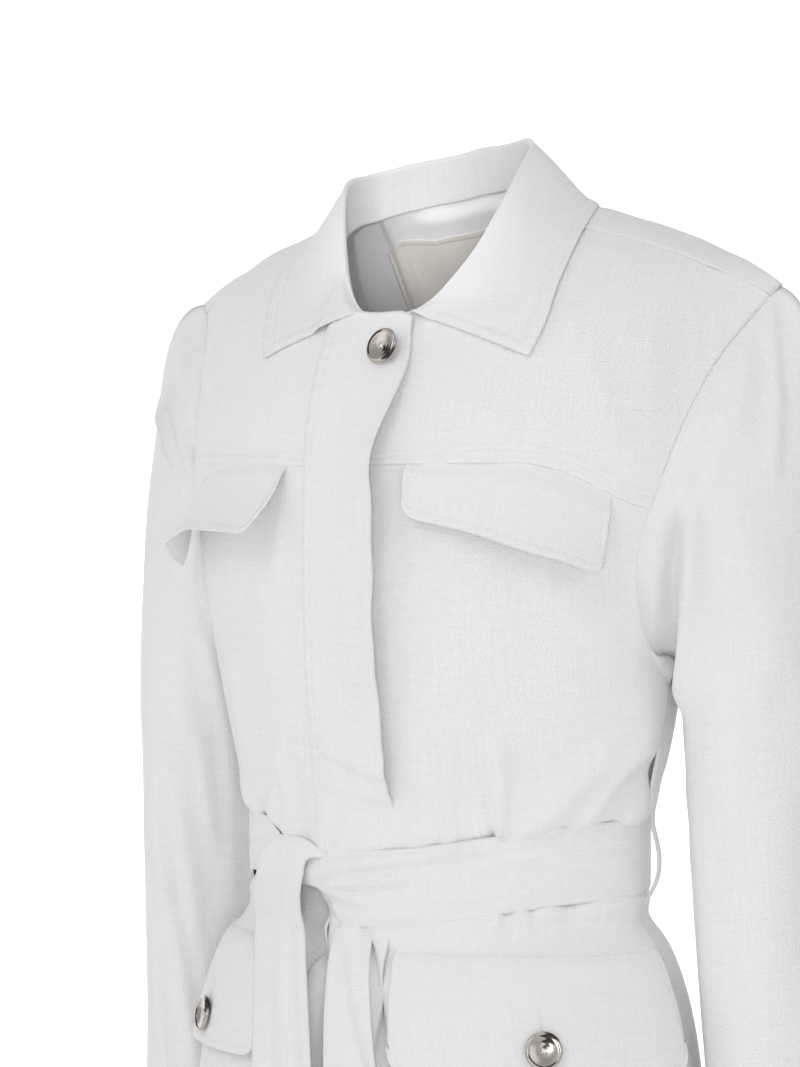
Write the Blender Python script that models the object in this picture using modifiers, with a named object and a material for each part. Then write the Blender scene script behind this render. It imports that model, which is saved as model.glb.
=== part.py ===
"""A belted linen jacket in its worn form, hollow, with the right front lapped over the left.

Metres, +Z up. The front faces -Y and the wearer's left is +X. The origin lies in the middle of the neck,
level with the neck ends of the shoulder seams, where the wearer's shoulders carry the jacket.
"""

import math
from collections import namedtuple

import bmesh
import bpy
import numpy as np
from mathutils import Matrix, Vector

for leftover in list(bpy.data.objects):
    bpy.data.objects.remove(leftover)

# Cloth walls and the clear gaps between pieces.
CLOTH = 0.0016
DOUBLE = 0.0022
THIN = 0.0012
SEAM = 0.0004
LIE = 0.0008
ARMHOLE_GAP = 0.0006

# Heights of the main lines.
CHEST_Z = -0.178
UNDERARM_Z = -0.308
BELT_Z = -0.436
HEM_Z = -0.690
CUFF_Z = -0.660
BICEPS_Z = -0.345

# The body from hem to chest line, an ellipse at each height: half widths of the front and of the back,
# and the depth of the front and of the back from the middle of the body.
Ring = namedtuple("Ring", "height half_width back_width front back")
BODY = (
    Ring(-0.690, 0.194, 0.194, 0.139, 0.135),
    Ring(-0.610, 0.186, 0.186, 0.132, 0.130),
    Ring(-0.563, 0.179, 0.179, 0.127, 0.125),
    Ring(-0.521, 0.171, 0.171, 0.120, 0.119),
    Ring(-0.490, 0.159, 0.159, 0.109, 0.109),
    Ring(-0.466, 0.1410, 0.1410, 0.0950, 0.0940),
    Ring(-0.436, 0.139, 0.139, 0.094, 0.093),
    Ring(-0.406, 0.1410, 0.1410, 0.0950, 0.0945),
    Ring(-0.384, 0.152, 0.152, 0.101, 0.102),
    Ring(-0.350, 0.161, 0.161, 0.107, 0.109),
    Ring(-0.308, 0.170, 0.170, 0.112, 0.115),
    Ring(-0.263, 0.179, 0.187, 0.115, 0.119),
    Ring(-0.230, 0.185, 0.205, 0.1155, 0.120),
    Ring(-0.178, 0.193, 0.250, 0.114, 0.119),
)
BODY_ROWS = (
    -0.690, -0.640, -0.590, -0.550, -0.515, -0.492, -0.474, -0.455, -0.436, -0.418,
    -0.402, -0.386, -0.362, -0.334, -0.308, -0.299, -0.285, -0.262, -0.228, -0.178,
)

# The crest of the shoulder, outwards from the middle of the neck.
Ridge = namedtuple("Ridge", "out height depth")
RIDGE = (
    Ridge(0.000, 0.020, 0.018),
    Ridge(0.074, 0.009, 0.026),
    Ridge(0.100, 0.003, 0.030),
    Ridge(0.150, -0.016, 0.036),
    Ridge(0.185, -0.030, 0.040),
    Ridge(0.216, -0.044, 0.042),
    Ridge(0.235, -0.058, 0.042),
)
CHEST_TURN = 0.180
SLOPE_NECK = 1.80
SLOPE_TIP = 1.15
SHOULDER_LIFT = 66.0

# How far out the armhole seam runs at each height.
Armhole = namedtuple("Armhole", "height out")
ARMHOLE = (
    Armhole(-0.308, 0.1700),
    Armhole(-0.270, 0.1672),
    Armhole(-0.230, 0.1685),
    Armhole(-0.182, 0.1806),
    Armhole(-0.136, 0.1926),
    Armhole(-0.105, 0.2020),
    Armhole(-0.069, 0.2190),
    Armhole(-0.052, 0.2300),
)

# The neckline, and the collar by shares of its half length from nape to front end.
NECK_HALF = 0.074
NECK_FRONT_Z = -0.071
NAPE_LIFT = 110.0
COLLAR_END_X = 0.0165
NECK_AXIS_Y = -0.018
Stand = namedtuple("Stand", "share height lean")
STAND_LEFT = (
    Stand(0.000, 0.045, 0.004),
    Stand(0.170, 0.0445, 0.006),
    Stand(0.330, 0.0385, 0.010),
    Stand(0.500, 0.033, 0.012),
    Stand(0.656, 0.025, 0.009),
    Stand(0.790, 0.012, 0.004),
    Stand(0.896, 0.005, 0.001),
    Stand(1.000, 0.003, 0.000),
)
STAND_RIGHT = (
    Stand(0.000, 0.045, 0.004),
    Stand(0.170, 0.038, 0.004),
    Stand(0.330, 0.029, 0.003),
    Stand(0.500, 0.038, 0.002),
    Stand(0.656, 0.031, 0.002),
    Stand(0.790, 0.012, 0.001),
    Stand(0.896, 0.005, 0.001),
    Stand(1.000, 0.003, 0.000),
)
Leaf = namedtuple("Leaf", "share out lift off roll")
LEAF = (
    Leaf(0.000, 0.000, 124.0, 0.0060, 0.010),
    Leaf(0.170, 0.045, 122.0, 0.0060, 0.010),
    Leaf(0.330, 0.080, 112.0, 0.0060, 0.004),
    Leaf(0.500, 0.099, 90.0, 0.0050, 0.002),
    Leaf(0.656, 0.108, 64.0, 0.0045, 0.005),
    Leaf(0.790, 0.111, 46.0, 0.0045, 0.005),
    Leaf(0.896, 0.109, 36.0, 0.0045, 0.004),
    Leaf(1.000, 0.100, 25.7, 0.0050, 0.002),
)

# Sleeves: how the head leaves the armhole, by share of the way round from the crest by the front,
# and the oval sections below it.
Head = namedtuple("Head", "share out forward down")
HEAD = (
    Head(0.000, 0.200, 0.000, -0.012),
    Head(0.125, 0.130, -0.050, -0.040),
    Head(0.250, 0.055, -0.045, -0.070),
    Head(0.375, 0.030, -0.020, -0.050),
    Head(0.500, 0.012, 0.000, -0.030),
    Head(0.625, 0.030, 0.020, -0.050),
    Head(0.750, 0.055, 0.040, -0.070),
    Head(0.875, 0.130, 0.045, -0.040),
    Head(1.000, 0.200, 0.000, -0.012),
)
Section = namedtuple("Section", "height out depth half_width half_depth")
SLEEVE = (
    Section(-0.660, 0.2290, 0.045, 0.0405, 0.055),
    Section(-0.590, 0.2255, 0.046, 0.0430, 0.058),
    Section(-0.450, 0.2200, 0.042, 0.0465, 0.063),
    Section(-0.345, 0.2175, 0.036, 0.0475, 0.0640),
)
HEAD_SHARE = 0.5

# Gathers where the belt draws the body in: where each lies, in degrees from the centre front, its depth,
# its half width in degrees, its reach above and below the belt, and its lean in degrees a metre.
Gather = namedtuple("Gather", "turn depth spread above below lean")
GATHERS = (
    Gather(8, 0.0030, 6.2, 0.035, 0.020, 0),
    Gather(21, 0.0035, 6.2, 0.045, 0.030, 60),
    Gather(36, 0.0055, 6.7, 0.060, 0.030, 0),
    Gather(50, 0.0050, 6.7, 0.045, 0.030, 250),
    Gather(66, 0.0055, 7.2, 0.055, 0.035, 300),
    Gather(-22, 0.0040, 6.2, 0.050, 0.020, -80),
    Gather(-40, 0.0055, 6.7, 0.060, 0.030, -160),
    Gather(-57, 0.0050, 6.7, 0.050, 0.030, -240),
    Gather(-74, 0.0050, 7.2, 0.055, 0.035, -260),
    Gather(108, 0.0045, 7.2, 0.055, 0.035, -60),
    Gather(128, 0.0050, 7.2, 0.060, 0.035, -40),
    Gather(148, 0.0045, 7.2, 0.050, 0.030, -20),
    Gather(170, 0.0040, 7.2, 0.055, 0.030, 0),
    Gather(-166, 0.0045, 7.2, 0.060, 0.030, 0),
    Gather(-144, 0.0050, 7.2, 0.055, 0.035, 20),
    Gather(-124, 0.0045, 7.2, 0.060, 0.030, 40),
    Gather(-104, 0.0045, 7.2, 0.050, 0.035, 60),
)

# The front closing: the right front's fly lies over the left front.
FLY_FOLD_X = -0.044
FLY_OFF = 0.0040
FLY_WALL = 0.0018
UNDER_FOLD_X = -0.030
UNDER_SHORT = 0.0035
UNDER_OFF = 0.0022
LEFT_EDGE_X = -0.022
RIGHT_EDGE_X = -0.034
Gape = namedtuple("Gape", "height edge lift")
GAPE = (
    Gape(-0.690, 0.0180, 0.0120),
    Gape(-0.590, 0.0180, 0.0080),
    Gape(-0.500, 0.0180, 0.0000),
    Gape(-0.460, 0.0180, 0.0000),
    Gape(-0.405, 0.0180, 0.0000),
    Gape(-0.340, 0.0180, 0.0060),
    Gape(-0.280, 0.0180, 0.0100),
    Gape(-0.200, 0.0180, 0.0120),
    Gape(-0.150, 0.0185, 0.0100),
    Gape(-0.115, 0.0215, 0.0010),
    Gape(-0.060, 0.0240, 0.0000),
)
FLY_ROWS = BODY_ROWS + (-0.152, -0.128, -0.108, -0.088)

# Flaps: the turn of the end near the centre front and of the far end, the height at both, the slant off
# the body in degrees at both, the radius of the lower corners, and how far they lie off the panel.
Flap = namedtuple("Flap", "name inner outer inner_height outer_height inner_slant outer_slant corner lie")
CHEST_FLAPS = (
    Flap("chest_flap_left", 11.5, 55.5, 0.033, 0.056, 8.0, 17.0, 0.010, 0.0008),
    Flap("chest_flap_right", -17.5, -64.0, 0.036, 0.060, 46.0, 28.0, 0.010, 0.0008),
)
HIP_FLAPS = (
    Flap("hip_flap_left", 10.9, 87.0, 0.080, 0.082, 4.0, 3.0, 0.016, 0.0013),
    Flap("hip_flap_right", -24.0, -88.0, 0.080, 0.082, 2.0, 4.0, 0.016, 0.0013),
)
HIP_FLAP_Z = -0.485
CHEST_SEAM_Z = -0.171
CHEST_SEAM_DROP = 0.024
DROP_FROM, DROP_TO = 36.0, 70.0

# The belt, its tied ends and the thread loops that carry it.
BELT_HIGH = 0.048
BELT_WALL = 0.0022
BELT_OFF = 0.0070
BELT_SAG = 0.013
BELT_HOLD = 0.075
SAG_TURN = -10.0
SAG_SPREAD = 50.0
KNOT_RIGHT, KNOT_LEFT = -30.0, 319.0
Hang = namedtuple("Hang", "along centre height off wide")
TAIL_OVER = (
    Hang(0.00, -0.0680, -0.4190, 0.0050, 0.050),
    Hang(0.05, -0.0690, -0.4120, 0.0055, 0.050),
    Hang(0.09, -0.0700, -0.4095, 0.0080, 0.050),
    Hang(0.13, -0.0710, -0.4130, 0.0115, 0.050),
    Hang(0.25, -0.0710, -0.440, 0.0120, 0.047),
    Hang(0.45, -0.0660, -0.495, 0.0120, 0.048),
    Hang(0.70, -0.0530, -0.575, 0.0125, 0.049),
    Hang(1.00, -0.0440, -0.655, 0.0125, 0.050),
)
TAIL_UNDER = (
    Hang(0.00, -0.0100, -0.4785, 0.0078, 0.028),
    Hang(0.30, -0.0060, -0.520, 0.0080, 0.034),
    Hang(0.65, 0.0020, -0.580, 0.0085, 0.042),
    Hang(1.00, 0.0070, -0.640, 0.0085, 0.046),
)
LOOP_TURN = 105.0
LOOP_RADIUS = 0.0013
Carry = namedtuple("Carry", "height off")
LOOP = (
    Carry(-0.470, 0.0026),
    Carry(-0.466, 0.0110),
    Carry(-0.454, 0.0165),
    Carry(-0.434, 0.0180),
    Carry(-0.414, 0.0165),
    Carry(-0.402, 0.0110),
    Carry(-0.398, 0.0026),
)

# Buttons, neck lining and the bare label.
BUTTON_RADIUS = 0.0122
BUTTON_TOP_X, BUTTON_TOP_Z = 0.0095, -0.094
HIP_BUTTON_Z = -0.548
HIP_BUTTON_LEFT, HIP_BUTTON_RIGHT = 43.0, -51.0
LINING_HALF = 0.135
LINING_GAP = 0.0024
LINING_TOP = 98.0
LINING_LIFT = 152.0
LABEL_LEFT, LABEL_RIGHT = -0.061, 0.025
LABEL_TOP, LABEL_BOTTOM = 114.0, 141.0

collection = bpy.data.collections.new("linen_jacket")
bpy.context.scene.collection.children.link(collection)


def column_curve(rows, column):
    """A smooth curve through one column of a table, read against the table's first column."""
    places = np.array([row[0] for row in rows], dtype=float)
    values = np.array([getattr(row, column) for row in rows], dtype=float)
    slopes = np.gradient(values, places)

    def value(place):
        i = min(max(int(np.searchsorted(places, place)) - 1, 0), len(places) - 2)
        width = places[i + 1] - places[i]
        t = min(max((place - places[i]) / width, 0.0), 1.0)
        rise = t * t * (3 - 2 * t) * (values[i + 1] - values[i])
        bend = t * (1 - t) * width * ((1 - t) * slopes[i] - t * slopes[i + 1])
        return float(values[i] + rise + bend)

    return value


half_width = column_curve(BODY, "half_width")
back_width = column_curve(BODY, "back_width")
front_depth = column_curve(BODY, "front")
back_depth = column_curve(BODY, "back")
ridge_height = column_curve(RIDGE, "height")
ridge_depth = column_curve(RIDGE, "depth")
armhole_out = column_curve(ARMHOLE, "out")
stand_high = {1: column_curve(STAND_LEFT, "height"), -1: column_curve(STAND_RIGHT, "height")}
stand_lean = {1: column_curve(STAND_LEFT, "lean"), -1: column_curve(STAND_RIGHT, "lean")}
fly_edge = column_curve(GAPE, "edge")
gape_lift = column_curve(GAPE, "lift")


def mix(first, second, share):
    return first + (second - first) * share


def smooth_step(low, high, value):
    t = min(max((value - low) / (high - low), 0.0), 1.0)
    return t * t * (3 - 2 * t)


def turn_apart(first, second):
    """Degrees from the second turn to the first, between -180 and 180."""
    return (first - second + 180.0) % 360.0 - 180.0


def belt_drop(turn):
    """How far the tied belt sags below its height at the sides."""
    return BELT_SAG * math.exp(-((turn_apart(turn, SAG_TURN) / SAG_SPREAD) ** 2))


def gather_depth(turn, height):
    total = 0.0
    for fold in GATHERS:
        over = height - BELT_Z
        across = turn_apart(turn, fold.turn + fold.lean * over) / fold.spread
        reach = fold.above if over > 0 else fold.below
        total += fold.depth * math.exp(-across * across - (over / reach) ** 2)
    return total


def ring_point(turn, height, gathered=True):
    """The body below the chest line, turned from the centre front towards the wearer's left."""
    angle = math.radians(turn)
    held = math.exp(-(((height - BELT_Z) / BELT_HOLD) ** 2))
    level = height + belt_drop(turn) * held
    if math.cos(angle) > 0:
        wide, deep = half_width(level), front_depth(level)
    else:
        wide, deep = back_width(level), back_depth(level)
    x = wide * math.sin(angle)
    y = -deep * math.cos(angle)
    if gathered:
        shrink = 1.0 - gather_depth(turn, height) / math.hypot(x, y)
        x, y = x * shrink, y * shrink
    return Vector((x, y, height))


def smooth_ring(turn, height):
    return ring_point(turn, height, gathered=False)


def chest_front(x):
    """Depth of the front at the chest line; past the turn of the chest it runs on straight."""
    wide, deep = half_width(CHEST_Z), front_depth(CHEST_Z)
    flat = min(abs(x), CHEST_TURN)
    share = math.sqrt(1 - (flat / wide) ** 2)
    return -deep * share + deep * flat / (wide * wide * share) * (abs(x) - flat)


def chest_back(x):
    return back_depth(CHEST_Z) * math.sqrt(1 - (x / back_width(CHEST_Z)) ** 2)


def arch_high(x):
    return ridge_height(abs(x)) - CHEST_Z


def arch_point(x, lift):
    """The body above the chest line: lift 0 is the front chest line, 90 the crest, 180 the back chest line."""
    angle = math.radians(lift)
    middle = ridge_depth(abs(x))
    if math.cos(angle) > 0:
        power = mix(SLOPE_NECK, SLOPE_TIP, min(abs(x) / 0.2, 1.0))
        reach = chest_front(x) - middle
    else:
        power = 1.0
        reach = chest_back(x) - middle
    y = middle + reach * abs(math.cos(angle)) ** power
    return Vector((x, y, CHEST_Z + arch_high(x) * math.sin(angle)))


def front_point(x, height):
    """The front at a place across and a height."""
    if height >= CHEST_Z:
        share = min((height - CHEST_Z) / arch_high(x), 1.0)
        return arch_point(x, math.degrees(math.asin(share)))
    turn = 0.0
    for _ in range(6):
        held = math.exp(-(((height - BELT_Z) / BELT_HOLD) ** 2))
        wide = half_width(height + belt_drop(turn) * held)
        turn = math.degrees(math.asin(min(max(x / wide, -1.0), 1.0)))
    return smooth_ring(turn, height)


def moved_out(point, first, second, off, steps):
    """A point of a surface moved along the normal there."""
    across = point(first + steps[0], second) - point(first - steps[0], second)
    along = point(first, second + steps[1]) - point(first, second - steps[1])
    return point(first, second) + across.cross(along).normalized() * off


def off_ring(turn, height, off):
    return moved_out(smooth_ring, turn, height, off, (0.5, 0.001))


def off_arch(x, lift, off):
    return moved_out(arch_point, x, lift, off, (0.001, 0.5))


def off_front(x, height, off):
    return moved_out(front_point, x, height, off, (0.001, 0.001))


def normal_at(surface, first, second):
    return (surface(first, second, 0.001) - surface(first, second, 0.0)).normalized()


def armhole_x(lift):
    """Where the armhole seam crosses the arch."""
    x = armhole_out(CHEST_Z)
    for _ in range(14):
        x = armhole_out(CHEST_Z + arch_high(x) * math.sin(math.radians(lift)))
    return x


def end_turn(height, front):
    """The turn at which a body panel ends: the side seam, or above the underarm the armhole."""
    if height <= UNDERARM_Z:
        return 90.0
    wide = half_width(height) if front else back_width(height)
    turn = math.degrees(math.asin(min(armhole_out(height) / wide, 1.0)))
    return turn if front else 180.0 - turn


def seam_drop(turn):
    """How far the chest seam falls towards the armhole."""
    return CHEST_SEAM_DROP * smooth_step(DROP_FROM, DROP_TO, abs(turn))


def seam_height(turn):
    return CHEST_SEAM_Z - seam_drop(turn)


def neck_front_lift(x):
    """The front neckline as a lift of the arch, from the shoulder seam down to the centre front."""
    top = CHEST_Z + arch_high(NECK_HALF) * math.sin(math.radians(SHOULDER_LIFT))
    fall = math.sqrt(max(1 - (x / NECK_HALF) ** 2, 0.0))
    height = top - (top - NECK_FRONT_Z) * fall
    return math.degrees(math.asin((height - CHEST_Z) / arch_high(x)))


def neck_back_lift(x):
    share = math.sqrt(max(1 - (x / NECK_HALF) ** 2, 0.0))
    return mix(SHOULDER_LIFT, NAPE_LIFT, share)


def make_material(name, colour, roughness, metallic=0.0):
    material = bpy.data.materials.new(name)
    material.use_nodes = True
    shader = material.node_tree.nodes["Principled BSDF"]
    shader.inputs["Base Color"].default_value = (*colour, 1.0)
    shader.inputs["Roughness"].default_value = roughness
    shader.inputs["Metallic"].default_value = metallic
    return material


LINEN = (0.86, 0.86, 0.87)


def add_object(name, bm, material, smooth=True):
    mesh = bpy.data.meshes.new(name)
    bm.to_mesh(mesh)
    bm.free()
    for face in mesh.polygons:
        face.use_smooth = smooth
    mesh.materials.append(material)
    obj = bpy.data.objects.new(name, mesh)
    collection.objects.link(obj)
    return obj


def cloth(name, point, columns, rows, wall, material, flip=False, side=1.0, closed=False):
    """A sheet: a grid moved onto a surface, then thickened. Side 1 grows outwards, -1 inwards, 0 both ways."""
    bm = bmesh.new()
    bmesh.ops.create_grid(bm, x_segments=columns, y_segments=rows, size=0.5)
    for vert in bm.verts:
        vert.co = point(vert.co.x + 0.5, vert.co.y + 0.5)
    if closed:
        bmesh.ops.remove_doubles(bm, verts=bm.verts, dist=1e-6)
    if flip:
        bmesh.ops.reverse_faces(bm, faces=bm.faces)
    obj = add_object(name, bm, material)
    solid = obj.modifiers.new("wall", "SOLIDIFY")
    solid.thickness = wall
    solid.offset = side
    solid.use_even_offset = True
    solid.use_quality_normals = True
    return obj


def row_at(rows, share):
    """A value of a list of heights, read evenly from its first to its last."""
    place = share * (len(rows) - 1)
    low = min(int(place), len(rows) - 2)
    return mix(rows[low], rows[low + 1], place - low)


def front_panel(side, edge_x):
    """A lower front from its front edge to the side seam and armhole, hem to chest seam."""
    gap = math.degrees(SEAM / 2 / half_width(UNDERARM_Z))

    def point(u, v):
        nominal = row_at(BODY_ROWS, v)
        weight = smooth_step(-0.300, CHEST_Z, nominal)
        top = mix(0.0, CHEST_SEAM_Z - CHEST_Z - SEAM / 2, weight)
        last = nominal + top - CHEST_SEAM_DROP * weight
        end = end_turn(last, True) - gap
        first = math.degrees(math.asin(edge_x / half_width(min(nominal, CHEST_Z))))
        turn = mix(first, end, u)
        height = nominal + top - seam_drop(turn) / seam_drop(end) * CHEST_SEAM_DROP * weight
        if height > CHEST_Z:
            base = front_point(half_width(CHEST_Z) * math.sin(math.radians(turn)), height)
        else:
            base = ring_point(side * turn, height)
            base.x *= side
        return Vector((side * base.x, base.y, base.z))

    return point


def upper_front(x, level):
    """The front near the chest line: level is the distance up from it along the cloth."""
    if level < 0:
        height = CHEST_Z + level
        return smooth_ring(math.degrees(math.asin(x / half_width(CHEST_Z))), height)
    return arch_point(x, math.degrees(level / arch_high(x)))


def yoke_panel(side, edge_x):
    """An upper front from the chest seam to the neckline and the shoulder seam."""
    neck_share = 0.42
    wide = half_width(CHEST_Z)
    last_turn = end_turn(CHEST_SEAM_Z - CHEST_SEAM_DROP, True)
    first_turn = math.degrees(math.asin(edge_x / wide))
    neck_from = math.asin(edge_x / NECK_HALF)
    tip_lift = SHOULDER_LIFT - math.degrees(SEAM / 0.15)
    tip_x = armhole_x(tip_lift)

    def top_place(u):
        if u < neck_share:
            angle = mix(neck_from, math.pi / 2, u / neck_share)
            x = NECK_HALF * math.sin(angle)
            return x, min(neck_front_lift(x), tip_lift)
        return mix(NECK_HALF, tip_x, (u - neck_share) / (1 - neck_share)), tip_lift

    def edge_place(level):
        if level < 0:
            height = CHEST_Z + level
            return armhole_out(height) / half_width(height) * wide
        lift = math.degrees(level / arch_high(0.205))
        return armhole_x(lift)

    def point(u, v):
        turn = mix(first_turn, last_turn, u)
        low_x = wide * math.sin(math.radians(turn))
        low = seam_height(turn) - CHEST_Z + SEAM
        high_x, high_lift = top_place(u)
        high = arch_high(high_x) * math.radians(high_lift)
        level = mix(low, high, v)
        x = mix(low_x, high_x, v)
        if u > 0.999:
            share = max(level, 0.0) / high
            lift = share * tip_lift
            x = edge_place(level) if level < 0 else armhole_x(lift)
            base = upper_front(x, level) if level < 0 else arch_point(x, lift)
        else:
            lean = smooth_step(0.5, 1.0, u)
            share = max(level, 0.0) / high
            seam_x = edge_place(level) if level < 0 else armhole_x(share * tip_lift)
            straight = mix(wide * math.sin(math.radians(last_turn)), tip_x, v)
            x += lean * (seam_x - straight)
            if level < 0:
                base = upper_front(x, level)
            else:
                base = arch_point(x, share * high_lift)
        return Vector((side * base.x, base.y, base.z))

    return point


UPPER_ROWS = 10
LOWER_ROWS = len(BODY_ROWS) - 1
WAIST_ROW = BODY_ROWS.index(BELT_Z)


def back_panel(first, last):
    """The back between two of its rows, with a strap over each crest to the forward shoulder seam.

    It is cut at the waist, behind the belt.
    """
    neck_share = 0.36
    gap = math.degrees(SEAM / 2 / back_width(UNDERARM_Z))
    strap_lift = SHOULDER_LIFT + math.degrees(SEAM / 0.15)
    strap_x = armhole_x(strap_lift)
    chest_span = 180.0 - end_turn(CHEST_Z, False)

    def top_place(s):
        share = abs(s)
        if share < neck_share:
            x = NECK_HALF * math.sin(share / neck_share * math.pi / 2)
            return x, max(neck_back_lift(x), strap_lift)
        return mix(NECK_HALF, strap_x, (share - neck_share) / (1 - neck_share)), strap_lift

    def point(u, v):
        s = 2 * u - 1
        row = mix(first, last, v)
        if row <= LOWER_ROWS + 1e-6:
            height = row_at(BODY_ROWS, row / LOWER_ROWS)
            if last <= WAIST_ROW:
                height = min(height, BELT_Z - SEAM / 2)
            else:
                height = max(height, BELT_Z + SEAM / 2)
            span = 180.0 - end_turn(height, False) - gap
            return ring_point(180.0 - s * span, height)
        t = (row - LOWER_ROWS) / UPPER_ROWS
        low_x = back_width(CHEST_Z) * math.sin(math.radians(abs(s) * chest_span))
        high_x, high_lift = top_place(s)
        lift = mix(180.0, high_lift, t)
        lean = smooth_step(0.5, 1.0, abs(s))
        straight = mix(armhole_out(CHEST_Z), strap_x, t)
        seam_x = armhole_x(mix(180.0, strap_lift, t))
        x = mix(low_x, high_x, t) + lean * (seam_x - straight)
        return arch_point(math.copysign(x, s), lift)

    return point


def armhole_loop():
    """Points along the armhole seam: the front half from crest to underarm and the back half up again."""
    halves = []
    for front in (True, False):
        crest, chest = (90.0, 0.0) if front else (90.0, 180.0)
        half = []
        for i in range(41):
            lift = mix(crest, chest, i / 40)
            x = armhole_x(lift)
            half.append(off_arch(x, lift, CLOTH))
        for i in range(1, 41):
            height = mix(CHEST_Z, UNDERARM_Z, math.sin(i / 40 * math.pi / 2))
            half.append(off_ring(end_turn(height, front), height, CLOTH))
        halves.append(half)
    return halves


def even_path(points):
    """A function of the share of a path's length."""
    steps = [(b - a).length for a, b in zip(points, points[1:])]
    places = np.concatenate([[0.0], np.cumsum(steps)])
    places /= places[-1]
    columns = np.array([tuple(p) for p in points])

    def at(share):
        return Vector([float(np.interp(share, places, columns[:, k])) for k in range(3)])

    return at


FRONT_LOOP, BACK_LOOP = [even_path(half) for half in armhole_loop()]


def loop_point(share):
    return FRONT_LOOP(share * 2) if share <= 0.5 else BACK_LOOP(2 - share * 2)


def sleeve_surface(side):
    """A sleeve from the armhole seam, share 0 at the crest and round by the front, down to the wrist."""
    head = {name: column_curve(HEAD, name) for name in ("out", "forward", "down")}
    oval = {name: column_curve(SLEEVE, name) for name in ("out", "depth", "half_width", "half_depth")}

    def section(share, height):
        angle = 2 * math.pi * share
        x = oval["out"](height) + oval["half_width"](height) * math.cos(angle)
        y = oval["depth"](height) - oval["half_depth"](height) * math.sin(angle)
        return Vector((x, y, height))

    def point(u, v):
        share = u % 1.0
        if v < HEAD_SHARE:
            t = v / HEAD_SHARE
            start = loop_point(share) + Vector((ARMHOLE_GAP, 0.0, 0.0))
            finish = section(share, BICEPS_Z)
            leave = Vector((head["out"](share), head["forward"](share), head["down"](share)))
            arrive = Vector((0.0, 0.0, -(finish - start).length))
            rise = t * t * (3 - 2 * t)
            bend = t * (1 - t)
            base = start.lerp(finish, rise) + bend * ((1 - t) * leave - t * arrive)
        else:
            base = section(share, mix(BICEPS_Z, CUFF_Z, (v - HEAD_SHARE) / (1 - HEAD_SHARE)))
        return Vector((side * base.x, base.y, base.z))

    return point


def neck_seam(s):
    """The neckline at a signed share from the nape: 0 nape, 1 the left front end."""
    share = abs(s)
    if share < 0.5:
        x = NECK_HALF * math.sin(share * math.pi)
        base = arch_point(x, neck_back_lift(x))
    else:
        last = math.asin(COLLAR_END_X / NECK_HALF)
        x = NECK_HALF * math.sin(mix(math.pi / 2, last, (share - 0.5) * 2))
        base = arch_point(x, neck_front_lift(x))
    return Vector((math.copysign(base.x, s), base.y, base.z))


def neck_inward(place):
    return Vector((-place.x, NECK_AXIS_Y - place.y, 0.0)).normalized()


def stand_point(s, v):
    """The collar stand from the neckline up to the fold."""
    seam = neck_seam(s)
    inward = neck_inward(seam)
    share = abs(s)
    side = 1 if s >= 0 else -1
    foot = seam + inward * 0.0018 + Vector((0.0, 0.0, 0.0016))
    rise = Vector((0.0, 0.0, stand_high[side](share) * v))
    return foot + inward * stand_lean[side](share) * v + rise


def clear_of_body(place, gap):
    """A place near the shoulders, moved out where it stands nearer the body than the gap."""
    lifts = np.linspace(5.0, 175.0, 171)
    x = place.x
    curve = np.array([tuple(arch_point(x, lift)) for lift in lifts])
    i = int(np.argmin(np.hypot(curve[:, 1] - place.y, curve[:, 2] - place.z)))
    i = min(max(i, 1), len(lifts) - 2)
    run = Vector(curve[i + 1] - curve[i - 1])
    out = Vector((0.0, -run.z, run.y)).normalized()
    short = gap - (place - Vector(curve[i])).dot(out)
    return place + out * short if short > 0 else place


leaf_out = column_curve(LEAF, "out")
leaf_lift = column_curve(LEAF, "lift")
leaf_off = column_curve(LEAF, "off")
leaf_roll = column_curve(LEAF, "roll")


def leaf_gap(x):
    """Clear height of the collar leaf over the body, more where the fly lies under it."""
    over_fly = smooth_step(FLY_FOLD_X - 0.012, FLY_FOLD_X - 0.002, x) * smooth_step(0.034, 0.022, x)
    return mix(0.0030, 0.0080, over_fly)


def leaf_point(s, v):
    """The collar leaf from the fold out to its edge."""
    share = abs(s)
    fold = stand_point(s, 1.0)
    outward = -neck_inward(fold)
    fold = fold + outward * (CLOTH + 0.0007) + Vector((0.0, 0.0, 0.0010))
    edge = off_arch(leaf_out(share), leaf_lift(share), leaf_off(share))
    edge = Vector((math.copysign(edge.x, s), edge.y, edge.z))
    roll = leaf_roll(share)
    rise = Vector((0.0, 0.0, roll * 0.5))
    first = fold.lerp(edge, 0.30) + outward * roll + rise
    second = fold.lerp(edge, 0.68) + outward * roll * 0.6
    w = 1 - v
    place = fold * w**3 + first * 3 * w * w * v + second * 3 * w * v * v + edge * v**3
    return clear_of_body(place, leaf_gap(place.x)) if v > 0.05 else place


def fly_lift(x, height):
    """How far the loose edge of the fly stands off, most between the top button and the belt."""
    share = min(max((x - UNDER_FOLD_X) / (fly_edge(height) - UNDER_FOLD_X), 0.0), 1.0)
    return gape_lift(height) * share * share


def fly_top(x):
    """Height of the fly's upper end, just under the neckline."""
    return CHEST_Z + arch_high(x) * math.sin(math.radians(neck_front_lift(x))) - 0.002


def fly_height(x, v, short):
    """Heights of the fly's rows: those of the fronts, then up to the neckline."""
    place = v * len(FLY_ROWS)
    if place <= len(FLY_ROWS) - 1:
        return max(row_at(FLY_ROWS, place / (len(FLY_ROWS) - 1)), HEM_Z + short)
    return mix(FLY_ROWS[-1], fly_top(x) - short, place - len(FLY_ROWS) + 1)


def fly_point(u, v):
    edge = fly_edge(fly_height(0.0, v, 0.0))
    x = mix(FLY_FOLD_X, edge, u)
    height = fly_height(x, v, 0.0)
    off = mix(CLOTH + LIE, FLY_OFF, smooth_step(FLY_FOLD_X, UNDER_FOLD_X, x))
    return off_front(x, height, off + fly_lift(x, height))


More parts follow.
